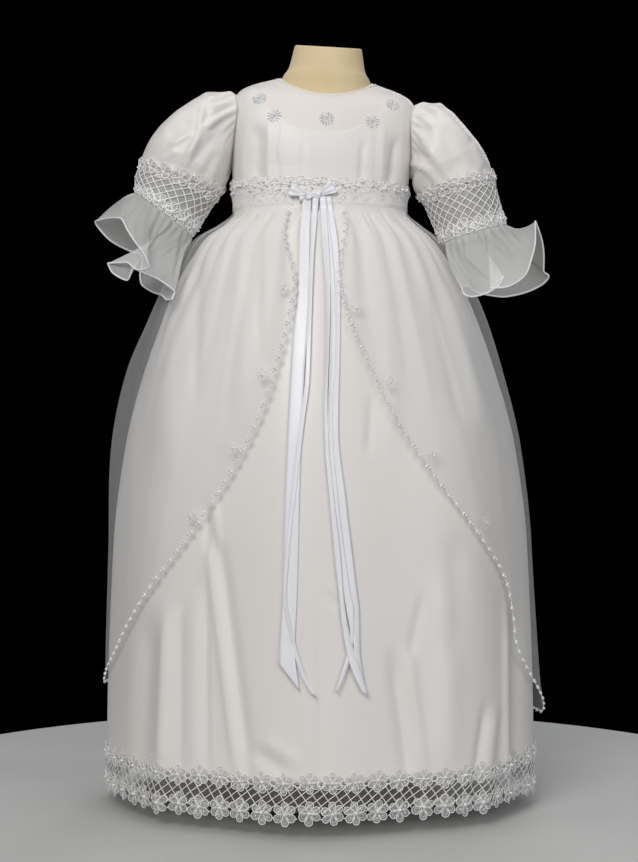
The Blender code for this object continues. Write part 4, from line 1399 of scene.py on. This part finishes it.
def flat_patch(centre, normal, size):
    """A small flat patch square to a normal."""
    right = unit(np.cross(np.array([0.0, 0.0, 1.0]), normal))
    up = np.cross(normal, right)
    corner = centre - (right + up) * size / 2
    low = np.stack([corner, corner + right * size])
    return Patch(np.stack([low, low + up * size]))


def even_angles(height, start, end, count):
    """Angles round the skirt at even distances along it."""
    fine = np.linspace(start, end, 1441)
    ring = skirt_point(fine, np.full_like(fine, height), 0.0)
    far = np.concatenate([[0.0], np.cumsum(np.linalg.norm(np.diff(ring, axis=0), axis=1))])
    return np.interp(np.linspace(0, far[-1], count), far, fine), far[-1]


# Heights in the hem's border: its edges, its two rows of flowers and the ends of its crossed threads
HEM_TOP = 0.082
HEM_BOTTOM = 0.004
LOW_FLOWER_HEIGHT = 0.0262
HIGH_FLOWER_HEIGHT = 0.0575
CROSSED_FROM = 0.0270
CROSSED_TO = 0.0560
HEM_FLOWERS = 28
LOW_FLOWER = 0.0245
HIGH_FLOWER = 0.0225
LATTICE_PITCH = 0.0116
LACE_OFF = 0.0009
HEM_RIPPLE = 0.0012
SMALL_LOOP = (0, 0.0062, 0.0075)
SMALL_LOOP_HEIGHT = 0.0570
HEM_BEAD_HEIGHT = 0.0215


def make_hem_lace(name, start):
    """The deep border of one half of the hem: two rows of flowers and crossed threads between."""
    angles, wide = even_angles(0.03, start, start + pi, 361)
    heights = np.linspace(HEM_BOTTOM, HEM_TOP, 24)[:, None]
    ripple = HEM_RIPPLE * np.cos(40 * angles)[None, :] * smooth((0.05 - heights) / 0.04)
    lift = satin_lift(angles[None, :], np.maximum(heights, SATIN_HEM)) + ripple
    grid = skirt_point(angles[None, :], heights, SATIN_WALL + LACE_OFF + lift)
    lace = Lace(Patch(grid), wide, HEM_TOP - HEM_BOTTOM, 0.0)
    pitch = wide / HEM_FLOWERS
    for k in range(HEM_FLOWERS):
        x = (k + 0.5) * pitch + jitter(0.0010)
        y = LOW_FLOWER_HEIGHT - HEM_BOTTOM + jitter(0.0010)
        lace.flower(x, y, LOW_FLOWER, turn=pi / 2 + jitter(0.12))
        lace.flower(x + jitter(0.001), HIGH_FLOWER_HEIGHT - HEM_BOTTOM + jitter(0.0012), HIGH_FLOWER,
                    turn=pi / 2 + jitter(0.15))
        for side in (-0.5, 0.5):
            petal = (*SMALL_LOOP, jitter(0.5))
            lace.loop(petal, x + side * pitch, SMALL_LOOP_HEIGHT - HEM_BOTTOM + jitter(0.001))
        lace.bead(x + pitch / 2, HEM_BEAD_HEIGHT - HEM_BOTTOM, 0.0010)
    low, high = CROSSED_FROM - HEM_BOTTOM, CROSSED_TO - HEM_BOTTOM
    share = np.linspace(0, 1, 7)
    for slope, off in ((0.75, 0.0002), (-1.45, -0.0005)):
        run = (high - low) / slope
        for k in range(int((wide + abs(run)) / LATTICE_PITCH) + 1):
            foot = k * LATTICE_PITCH - max(run, 0) + jitter(0.0004)
            x, y = foot + run * share, low + (high - low) * share
            keep = (x > 0.0004) & (x < wide - 0.0004)
            if keep.sum() > 1:
                sway = 0.0003 * np.sin(share[keep] * 9 + k)
                lace.thread(x[keep] + sway, y[keep], THREAD * 1.1, off=off)
    inner = skirt_point(angles[None, ::3], heights[7:18], SATIN_WALL + 0.0001 + lift[7:18, ::3])
    net = cloth(f"hem_net_{name}", inner, hem_net_look, "lace", shell=0)
    return [net] + lace.pieces(f"hem_lace_{name}", "lace", [f"hem_lace_{name}"])


hem_laces = make_hem_lace("front", pi), make_hem_lace("back", 0.0)


# Lace cuffs

CUFF_FLOWERS = 15
CUFF_FLOWER = 0.0200
CUFF_LATTICE = 0.0120
OVER_SLEEVE = 0.0024


def make_cuff(side, name, table, sleeve_table, over_shares):
    """A lace cuff; its patch runs on over the sleeve, so that the top flowers lie on the satin."""
    columns, rows = 181, 16
    turns = turns_of(columns)
    shares = np.clip(np.linspace(-0.06, 1.05, rows), 0, 1)
    grid = tube_grid(table, shares, turns, np.cos(14 * turns)[None, :])
    step_top, step_low = grid[1] - grid[2], grid[-2] - grid[-3]
    grid[0] = grid[1] + step_top * 0.9
    grid[-1] = grid[-2] + step_low * 0.7
    grid = clear_of_skirt(grid, CUFF_CLEARANCE)
    over = tube_grid(sleeve_table, np.array(over_shares), turns)
    over = over + unit(over - over.mean(axis=1, keepdims=True)) * OVER_SLEEVE
    lapped = np.concatenate([over, grid[1:]])
    lap = np.linalg.norm(lapped[0] - lapped[len(over)], axis=1).mean()
    grid, lapped = grid[::-1, ::-side], lapped[::-1, ::-side]
    wide = np.linalg.norm(np.diff(grid[rows // 2], axis=0), axis=1).sum()
    tall = np.linalg.norm(np.diff(lapped[:, :: columns // 4], axis=0), axis=2).sum(axis=0).mean()
    lace = Lace(Patch(lapped, closed=True), wide, tall, 0.0010)
    pitch = wide / CUFF_FLOWERS
    foot, head = 0.0025, tall - lap
    for k in range(CUFF_FLOWERS):
        x = (k + 0.5) * pitch
        for height, shift in ((foot + 0.0045, 0.0), (head + 0.0010, pitch / 2)):
            lace.flower(x + shift + jitter(0.001), height + jitter(0.001), CUFF_FLOWER, petals=5,
                        turn=pi / 2 + jitter(0.3), radius=0.00066, inner=False, beaded=0.5)
            lace.loop((0, 0.0055, 0.0065, jitter(0.6)), x + shift + pitch / 2, height)
            for _ in range(2):
                lace.bead(x + jitter(0.5) * pitch, height + jitter(0.005), 0.0009, off=0.0014,
                          stretch=(1.6, 1.0, 1.0), turn=chance.uniform(0, pi))
    low, high = foot + 0.004, head - 0.002
    count = round(wide / CUFF_LATTICE)
    share = np.linspace(0, 1, 6)
    for slope, off in ((0.85, 0.0002), (-1.05, -0.0003)):
        for k in range(count):
            x = k * wide / count + (high - low) / slope * share + 0.0003 * np.sin(share * 8 + k)
            lace.thread(x, low + (high - low) * share, 0.0007, off=off)
    inner = raised(grid, -0.0002, closed=True)
    net = cloth(f"cuff_{name}_net", inner, net_look, "lace", shell=0, closed=True)
    return [net] + lace.pieces(f"cuff_{name}_lace", "lace", [f"cuff_{name}_front", f"cuff_{name}_back"])


cuffs = {
    "left": make_cuff(-1, "left", CUFF_LEFT, SLEEVE_LEFT, (0.75, 0.81, 0.87, 0.93)),
    "right": make_cuff(1, "right", CUFF_RIGHT, SLEEVE_RIGHT, (0.86, 0.895, 0.93, 0.965)),
}


# Waistband of lace and beads

BAND_OFF = 0.0032
BAND_CRINKLE = 0.00055
BAND_SCALLOP = 0.0165
BAND_FLOWERS = 17
BAND_FLOWER = 0.0195


def make_waist_lace(name, start):
    """A crinkled band with flowers and beads along its top."""
    columns, rows = 230, 28
    angles = np.linspace(start + 0.002, start + pi - 0.002, columns)
    level_top = 1.0 + (CHEST - (BAND_TOP - 0.002)) / (CHEST - WAIST)
    levels = np.linspace(1.95, level_top, rows)[:, None]
    ring = torso_point(angles, 1.5, 0.0030)
    wide = np.linalg.norm(np.diff(ring, axis=0), axis=1).sum()
    u = np.linspace(0, wide, columns)[None, :]
    v = upward(rows)
    crinkle = np.sin(u * 2900 + 3 * np.sin(v * 17 + u * 400)) * np.sin(v * 40 + 2 * np.sin(u * 900))
    edge = 0.0018 * (1 - np.abs(np.cos(u * pi / BAND_SCALLOP)))
    scalloped = levels - edge / (CHEST - WAIST) * smooth((v - 0.8) / 0.2)
    flare = -0.0011 * smooth((0.2 - v) / 0.2)
    grid = torso_point(angles[None, :], scalloped, BAND_OFF + flare + BAND_CRINKLE * crinkle)
    band = cloth(f"waist_band_{name}", grid, band_look, "lace", [f"waist_lace_{name}"], shell=SHEER_SHELL)
    lace = Lace(Patch(grid), wide, 0.034, 0.0005)
    pitch = wide / BAND_FLOWERS
    for k in range(BAND_FLOWERS):
        x = (k + 0.5) * pitch
        lace.flower(x + jitter(0.001), 0.0265 + jitter(0.0015), BAND_FLOWER, petals=chance.choice((5, 6)),
                    turn=chance.uniform(0, tau), radius=0.00046, filled=False, inner=False)
        for _ in range(3):
            lace.bead(x + jitter(0.5) * pitch, 0.032 - chance.uniform(0, 0.012), 0.0010,
                      off=0.0014, stretch=(2.3, 1.0, 1.0), turn=chance.uniform(0, pi))
    for _ in range(64):
        x, y = chance.uniform(0.004, wide - 0.004), chance.uniform(0.007, 0.023)
        petal = (0, chance.uniform(0.003, 0.005), chance.uniform(0.004, 0.007), chance.uniform(0, pi), 9)
        lace.loop(petal, x, y, THREAD * 0.75, sides=3)
    return band, lace.pieces(f"waist_lace_{name}", "lace")


waist_laces = make_waist_lace("front", pi), make_waist_lace("back", 0.0)


# Beaded edging of the overskirt, with small flowers

EDGING_PITCH = 0.0130
# Where the photograph shows the edging's small flowers
EDGE_FLOWERS = {
    "left": ((283, 288.5), (259, 375), (229, 448), (189.5, 517)),
    "right": ((357, 308), (390, 382), (433, 456), (482, 523)),
}


EDGE_FLOWER = 0.0135
SCALLOP = 0.0022
EDGING_THREAD = 0.00045


def make_edging(side, grid):
    """Scallops of beads along the front edge and the hem of one overskirt half."""
    outward = normals(grid)
    if side == "left":
        grid, outward = grid[:, ::-1], outward[:, ::-1]
    path = np.concatenate([grid[::-1, 0], grid[0, 1:]])
    normal = np.concatenate([outward[::-1, 0], outward[0, 1:]])
    inward = unit(np.concatenate([grid[::-1, 1] - grid[::-1, 0], grid[1, 1:] - grid[0, 1:]]))
    far = np.concatenate([[0.0], np.cumsum(np.linalg.norm(np.diff(path, axis=0), axis=1))])

    def along(places, sunk, off):
        """Points along the edge, sunk into the cloth and lifted off it, and their normals."""
        at, into, out = (np.stack([np.interp(places, far, layer[:, i]) for i in range(3)], axis=-1)
                         for layer in (path, inward, normal))
        return at - into * sunk + out * off, unit(out)

    lace = Lace(None, 1.0, 1.0, 0.0)
    t = np.linspace(-0.5, 0.5, 7)
    for k in range(int((far[-1] - 0.012) / EDGING_PITCH)):
        centre = 0.010 + (k + 0.5) * EDGING_PITCH
        scallop = along(centre + t * EDGING_PITCH, SCALLOP * (1 - (2 * t) ** 2)[:, None], 0.0005)
        tube(lace.threads, *scallop, EDGING_THREAD)
        for step, sunk in ((-0.14, 0.0004), (0.14, 0.0004), (0.0, 0.0030)):
            spot, out = along(np.array([centre + step * EDGING_PITCH]), sunk, 0.0011)
            ball(lace.beads, spot[0], out[0], chance.uniform(0.00125, 0.0015))
    flowers = Lace(None, 0.02, 0.02, 0.0)
    for px, py in EDGE_FLOWERS[side]:
        sighting = Sighting((px - MIDDLE_COLUMN) * PIXEL / MM, (HEM_LEVEL + (HEM_ROW - py) * PIXEL) / MM)
        angle, height = on_overskirt(sighting)
        spot = over_point(angle, height, 0.0006 + over_lift(np.array(angle), np.array(height)))
        normal = unit(over_point(angle, height, 0.01) - over_point(angle, height, 0.0))
        flowers.patch = flat_patch(spot, normal, 0.02)
        flowers.flower(0.01, 0.01, EDGE_FLOWER, petals=5, turn=chance.uniform(0, tau), radius=0.00028)
    edging = lace.pieces(f"edging_{side}", "lace", [f"edging_{side}"])
    return edging + flowers.pieces(f"edge_flowers_{side}", "lace")


edgings = {side: make_edging(side, grid) for side, (_, grid) in overskirts.items()}


# Flowers, binding and seams of the bodice

# Where the photograph shows the bodice's flowers
BODICE_FLOWERS = ((259, 97.6), (273.6, 114.8), (326, 117.4), (371.8, 120.6), (391.6, 103.4))


BODICE_FLOWER = 0.0176
BINDING = 0.0011
BINDING_OFF = 0.0012


def on_bodice(px, py, off):
    """The bodice's front point and normal that the photograph shows at a place."""
    angles = np.linspace(pi + 0.05, tau - 0.05, 400)[None, :]
    levels = np.linspace(0.02, 1.95, 300)[:, None]
    grid = torso_point(angles, levels, off)
    found_px, found_py = seen_at(grid)
    j, i = np.unravel_index(np.argmin((found_px - px) ** 2 + (found_py - py) ** 2), found_px.shape)
    return grid[j, i], unit(torso_point(angles[0, i], levels[j, 0], off + 0.01) - grid[j, i])


def make_bodice_flowers():
    lace = Lace(None, 0.03, 0.03, 0.0)
    for px, py in BODICE_FLOWERS:
        lace.patch = flat_patch(*on_bodice(px, py, 0.0022), 0.03)
        lace.daisy(0.015, 0.015, BODICE_FLOWER, petals=chance.choice((12, 13, 14)))
    return lace.pieces("bodice_flowers", "lace", look=silver_thread)


def make_bindings():
    """The rolled neckline and the piped armhole seams."""
    heap = Heap()
    turns = turns_of(140)
    seams = [armhole_seam(side, turns, radians(0.4)) for side in (1, -1)]
    for angle, level in [(turns_of(160), 0.012), *seams]:
        path = torso_point(angle, level, BINDING_OFF)
        out = torso_point(angle, level, BINDING_OFF + 0.01) - path
        tube(heap, path, unit(out), BINDING, sides=6, closed=True)
    return heap.piece("bodice_bindings", satin, "satin")


bodice_flowers = make_bodice_flowers()
bodice_bindings = make_bindings()


# Bow and streamers

# Where the photograph shows a streamer's two edges
RibbonEdge = namedtuple("RibbonEdge", "left_px left_py right_px right_py")
# How far a streamer lies off the skirt, what it replaces, its cut in metres and its edges
Streamer = namedtuple("Streamer", "off nodes flat area edges")
STREAMERS = {
    "ribbon_left": Streamer(0.0016, ["ribbon_left"], (0.0145, 0.53), None, rows_of(
        RibbonEdge,
        (302.5, 196, 312, 196),
        (300, 232, 310, 232),
        (298, 290, 309, 290),
        (293, 335, 307, 335),
        (290, 380, 304, 380),
        (287.5, 430, 302, 430),
        (285, 500, 299.5, 500),
        (283.5, 560, 298, 560),
        (282.5, 590, 297, 592),
        (281.5, 611, 296, 615),
        (280, 638, 294.5, 648),
        (278.4, 664, 299, 691),
    )),
    "ribbon_left_inner": Streamer(0.0028, ["ribbon_left_inner"], (0.0100, 0.53), 0.0026, rows_of(
        RibbonEdge,
        (312.5, 196, 319, 196),
        (309.5, 263, 313.5, 263),
        (307.5, 320, 311.5, 320),
        (305, 379, 309.5, 379),
        (300, 420, 304.5, 420),
        (292, 490, 296, 490),
        (286, 550, 289.5, 550),
        (283.2, 596, 286.4, 595),
        (287, 622, 290.2, 620),
        (293.5, 652, 297, 650),
        (302, 678, 305.5, 676),
        (313, 696, 317, 697),
    )),
    "ribbon_right": Streamer(0.0016, ["ribbon_right"], (0.0105, 0.52), 0.0047, rows_of(
        RibbonEdge,
        (324.5, 196, 331, 196),
        (331, 255, 339, 255),
        (334.5, 300, 340.5, 300),
        (334, 346, 340, 346),
        (330.5, 429, 338.5, 429),
        (336, 500, 346, 500),
        (342.7, 560, 353.4, 560),
        (347.5, 590, 357, 590),
        (351.5, 611, 359.5, 611),
        (354, 652, 360, 652),
        (356, 676, 364, 680),
    )),
    "ribbon_right_inner": Streamer(0.0034, ["ribbon_right_inner"], (0.0100, 0.53), 0.0030, rows_of(
        RibbonEdge,
        (319.5, 196, 325.5, 196),
        (323.5, 255, 329.5, 255),
        (326.5, 300, 330.5, 300),
        (326.5, 350, 329, 350),
        (324.5, 400, 327.5, 400),
        (325, 440, 328.5, 440),
        (329.5, 500, 334, 500),
        (335, 560, 341, 560),
        (338.5, 590, 343, 590),
        (340.5, 611, 345.5, 611),
        (344.5, 640, 351, 640),
        (350, 665, 358, 662),
        (362.5, 693, 368, 695.5),
    )),
    "ribbon_right_third": Streamer(0.0025, [], (0.0100, 0.53), 0.0028, rows_of(
        RibbonEdge,
        (322.5, 198, 326, 198),
        (328, 255, 332.5, 255),
        (331, 300, 335, 300),
        (330, 350, 334.5, 350),
        (328, 420, 332.5, 420),
        (333, 500, 338, 500),
        (340, 560, 345.5, 560),
        (343, 590, 350, 590),
        (346.5, 611, 354, 611),
        (350, 632, 354, 634),
        (348, 650, 351.5, 654),
        (342.5, 670, 346, 673),
        (335.5, 692, 337.5, 693.5),
    )),
}


SKIRT_TAKEN_BELOW = WAIST - 0.0015
WAISTBAND_OFF = CLOTH_CLEARANCE + SATIN_WALL + LACE_WALL + 0.0008


def on_front(px, py, off):
    """Points over the front of the gown that the photograph shows at px and py."""
    forward = np.full(px.shape, 0.15)
    for _ in range(14):
        spot = seen(px, py, forward)
        x, z = spot[..., 0], spot[..., 2]
        height = np.minimum(z, SKIRT_TAKEN_BELOW)
        row = table_at(SKIRT, height)
        angle = 1.5 * pi + np.arcsin(np.clip(x / row.left, -0.9, 0.9))
        low = skirt_point(angle, height, 0.0)
        level = 1.0 + (CHEST - np.maximum(z, WAIST)) / (CHEST - WAIST)
        waist = torso_point(1.5 * pi, level, WAISTBAND_OFF)
        share = smooth((z - WAIST + 0.014) / 0.016)
        surface = mix(-low[..., 1] + row.gather, -waist[..., 1] - SATIN_WALL, share) + SATIN_WALL
        forward = mix(forward, surface + off, 0.8)
    return seen(px, py, forward)


RIBBON_ROLL = 0.0007
RIBBON_BELLY = 0.0006
RIBBON_LOOSE_END = 0.0022


def make_streamer(name, streamer):
    rows, columns = 110, 7
    table = np.array(streamer.edges, float)
    v = np.linspace(0, 1, rows)
    middle = (table[:, 1] + table[:, 3]) / 2
    run = (middle - middle[0]) / (middle[-1] - middle[0])
    left_px, left_py, right_px, right_py = curve(run, table, v).T[..., None]
    u, v = across(columns), v[:, None]
    seed = chance.uniform(0, tau)
    roll = RIBBON_ROLL * np.sin(9 * v + seed) * (u - 0.5) * 2
    belly = RIBBON_BELLY * (1 - (2 * u - 1) ** 2) * np.cos(5 * v + seed)
    loose = RIBBON_LOOSE_END * smooth((v - 0.88) / 0.12)
    grid = on_front(mix(left_px, right_px, u), mix(left_py, right_py, u), streamer.off + roll + belly + loose)
    return cloth(name + "_satin", grid[::-1], ribbon_look, "ribbon", streamer.nodes, shell=SHEER_SHELL)


streamers = {name: make_streamer(name, streamer) for name, streamer in STREAMERS.items()}


KNOT_HALF = 0.0026
BOW_PLEAT = 0.0011
BOW_CRUMPLE = 0.0006


def bow_loop(outer, knot, depth, wide, count):
    """A loop of ribbon: out from the knot in front, round its end and back behind."""
    t = upward(44)
    u = np.linspace(-1, 1, 13)[None, :]
    reach = np.sin(t * pi)
    half = mix(KNOT_HALF, wide, smooth(reach * 1.15))
    pleat = np.cos(u * 7.5 + count) * BOW_PLEAT * (1 - 0.65 * reach)
    pleat = pleat + np.sin(u * 4 + t * 7 + count) * BOW_CRUMPLE * reach
    front = depth * np.sin(2 * pi * t) * 0.5 + depth * 0.55
    path = mix(knot[None, None], outer[None, None], (reach ** 0.8)[..., None])
    side = unit(np.cross(np.array([0.0, -1.0, 0.0]), outer - knot))
    grid = path + side * (half * u)[..., None]
    grid[..., 1] = grid[..., 1] - front - pleat
    return grid


BOW_FORWARD = 0.0700


def make_bow():
    """The tied bow on the waistband: two crumpled loops, a small one and the knot between."""
    off = BOW_FORWARD
    knot_left, knot_right = seen(307, 195.5, off), seen(320, 195, off)
    t = np.linspace(0, tau, 29)[:-1, None]
    u = np.linspace(-1, 1, 15)[None, :]
    middle = (knot_left + knot_right) / 2
    wrap = 0.0036 * (1 - 0.25 * u ** 2) + 0.0008 * np.cos(5 * t + 3 * u)
    knot = point(middle[0] + u * 0.0080, middle[1] - 0.0032 + wrap * np.sin(t) * 0.75,
                 middle[2] + wrap * np.cos(t) * 0.95 + 0.0018 * u + 0.0010 * np.cos(4 * u))
    heap = Heap()
    for grid in (
        bow_loop(seen(290, 189, off), knot_left, 0.0048, 0.0068, 0.4),
        bow_loop(seen(334, 186, off), knot_right, 0.0048, 0.0074, 2.1),
        bow_loop(seen(299, 197.5, off - 0.001), knot_left, 0.0050, 0.0046, 3.3),
        knot,
        np.stack([knot[-1], knot[0]]),
    ):
        heap.add(grid.reshape(-1, 3), grid_faces(*grid.shape[:2], False))
    piece = heap.piece("bow_satin", ribbon_look, "ribbon", ["bow"])
    add_wall(piece, SHEER_SHELL, 0.0)
    return piece


bow = make_bow()


# The cloth: each sheet's cut in metres, how it is held, what it rests on and what goes with it

Cut = namedtuple("Cut", "piece flat area held rests_on goes_with")


def declare_cloth():
    form = ["form_cover"]
    (band_front, waist_front), (band_back, waist_back) = waist_laces
    skirt_front, skirt_back = skirts
    cuts = [
        Cut(bodice_front, (0.240, 0.150), 0.0300, "stretched", form, [*bodice_flowers, bodice_bindings]),
        Cut(yoke, (0.175, 0.080), 0.0105, "stretched", form, []),
        Cut(bodice_backs[0], (0.130, 0.160), 0.0200, "stretched", form, []),
        Cut(bodice_backs[1], (0.130, 0.160), 0.0200, "stretched", form, []),
        Cut(band_front, (0.245, 0.040), None, "stretched", [bodice_front], waist_front),
        Cut(band_back, (0.235, 0.040), None, "stretched", bodice_backs, waist_back),
        Cut(skirt_front, (0.700, 0.630), 0.3900, "gathered", [band_front], hem_laces[0]),
        Cut(skirt_back, (0.700, 0.630), 0.3900, "gathered", [band_back], hem_laces[1]),
        Cut(sleeves["left"], (0.340, 0.120), 0.0330, "gathered", [bodice_front, cuffs["left"][0]], []),
        Cut(sleeves["right"], (0.340, 0.110), 0.0310, "gathered", [bodice_front, cuffs["right"][0]], []),
        Cut(bow, (0.018, 0.090), None, "folded", [band_front], []),
    ]
    for side, cuff_flat in (("left", (0.290, 0.047)), ("right", (0.290, 0.052))):
        ruffle, edge = ruffles[side]
        cuff, *cuff_lace = cuffs[side]
        cuts += [
            Cut(cuff, cuff_flat, None, "hung", [sleeves[side]], cuff_lace),
            Cut(ruffle, (0.200, 0.200), 0.0230, "gathered", [cuff], [edge]),
            Cut(overskirts[side][0], (0.720, 0.600), 0.3000, "gathered", skirts, edgings[side]),
        ]
    for name, streamer in STREAMERS.items():
        cuts.append(Cut(streamers[name], streamer.flat, streamer.area, "hung", [bow, skirt_front], []))


declare_cloth()


# Camera, floor and light

CAMERA_SIDEWAYS = -0.0011
SENSOR_HEIGHT = 36.0
LENS = 71.4
FLOOR_RADIUS = 0.60
FLOOR_LEVEL = -0.0002

camera_data = bpy.data.cameras.new("camera")
camera = bpy.data.objects.new("camera", camera_data)
bpy.context.scene.collection.objects.link(camera)
camera.location = (CAMERA_SIDEWAYS, -SIGHTED_FROM, SIGHTED_HEIGHT)
camera.rotation_euler = (radians(90), 0.0, 0.0)
camera_data.sensor_fit = "VERTICAL"
camera_data.sensor_height = SENSOR_HEIGHT
camera_data.lens = LENS
bpy.context.scene.camera = camera


def make_floor():
    turns = turns_of(96)
    rim = point(FLOOR_RADIUS * np.cos(turns), FLOOR_RADIUS * np.sin(turns), FLOOR_LEVEL)
    mesh = bpy.data.meshes.new("floor")
    mesh.from_pydata(rim.tolist(), [], [tuple(range(len(rim)))])
    floor = bpy.data.objects.new("floor", mesh)
    mesh.materials.append(material("floor_paper", (0.55, 0.55, 0.54), 0.7, (60.0, 0.05, 0.001),
                                   (0.53, 0.53, 0.52), (0.57, 0.57, 0.56)))
    bpy.context.scene.collection.objects.link(floor)


make_floor()


def area_light(name, place, aim, size, power, colour=(1.0, 1.0, 1.0)):
    data = bpy.data.lights.new(name, "AREA")
    data.shape = "RECTANGLE"
    data.size, data.size_y = size
    data.energy = power
    data.color = colour
    lamp = bpy.data.objects.new(name, data)
    bpy.context.scene.collection.objects.link(lamp)
    lamp.location = place
    lamp.rotation_euler = (Vector(aim) - Vector(place)).to_track_quat("-Z", "Y").to_euler()
    lamp.visible_camera = False


area_light("key", (-0.8, -2.3, 1.95), (0, 0, 0.47), (1.3, 1.3), 43.0, (1.0, 0.985, 0.965))
area_light("fill", (1.3, -2.2, 0.9), (0, 0, 0.45), (1.4, 1.6), 14.0, (0.98, 0.99, 1.0))
area_light("back", (0.8, 2.4, 1.5), (0, 0, 0.45), (1.4, 1.4), 11.0)
area_light("top", (0.0, 0.0, 2.6), (0, 0, 0.5), (1.6, 1.6), 10.0)

AMBIENT = 0.17

world = bpy.data.worlds.new("studio")
world.use_nodes = True
backdrop = world.node_tree.nodes["Background"]
backdrop.inputs["Color"].default_value = (0.9, 0.93, 1.0, 1.0)
nodes, links = world.node_tree.nodes, world.node_tree.links
light_path = nodes.new("ShaderNodeLightPath")
dim = set_sockets(nodes.new("ShaderNodeMapRange"), To_Min=AMBIENT, To_Max=0.0)
links.new(light_path.outputs["Is Camera Ray"], dim.inputs["Value"])
links.new(dim.outputs["Result"], backdrop.inputs["Strength"])
bpy.context.scene.world = world
bpy.context.scene.view_settings.view_transform = "Standard"
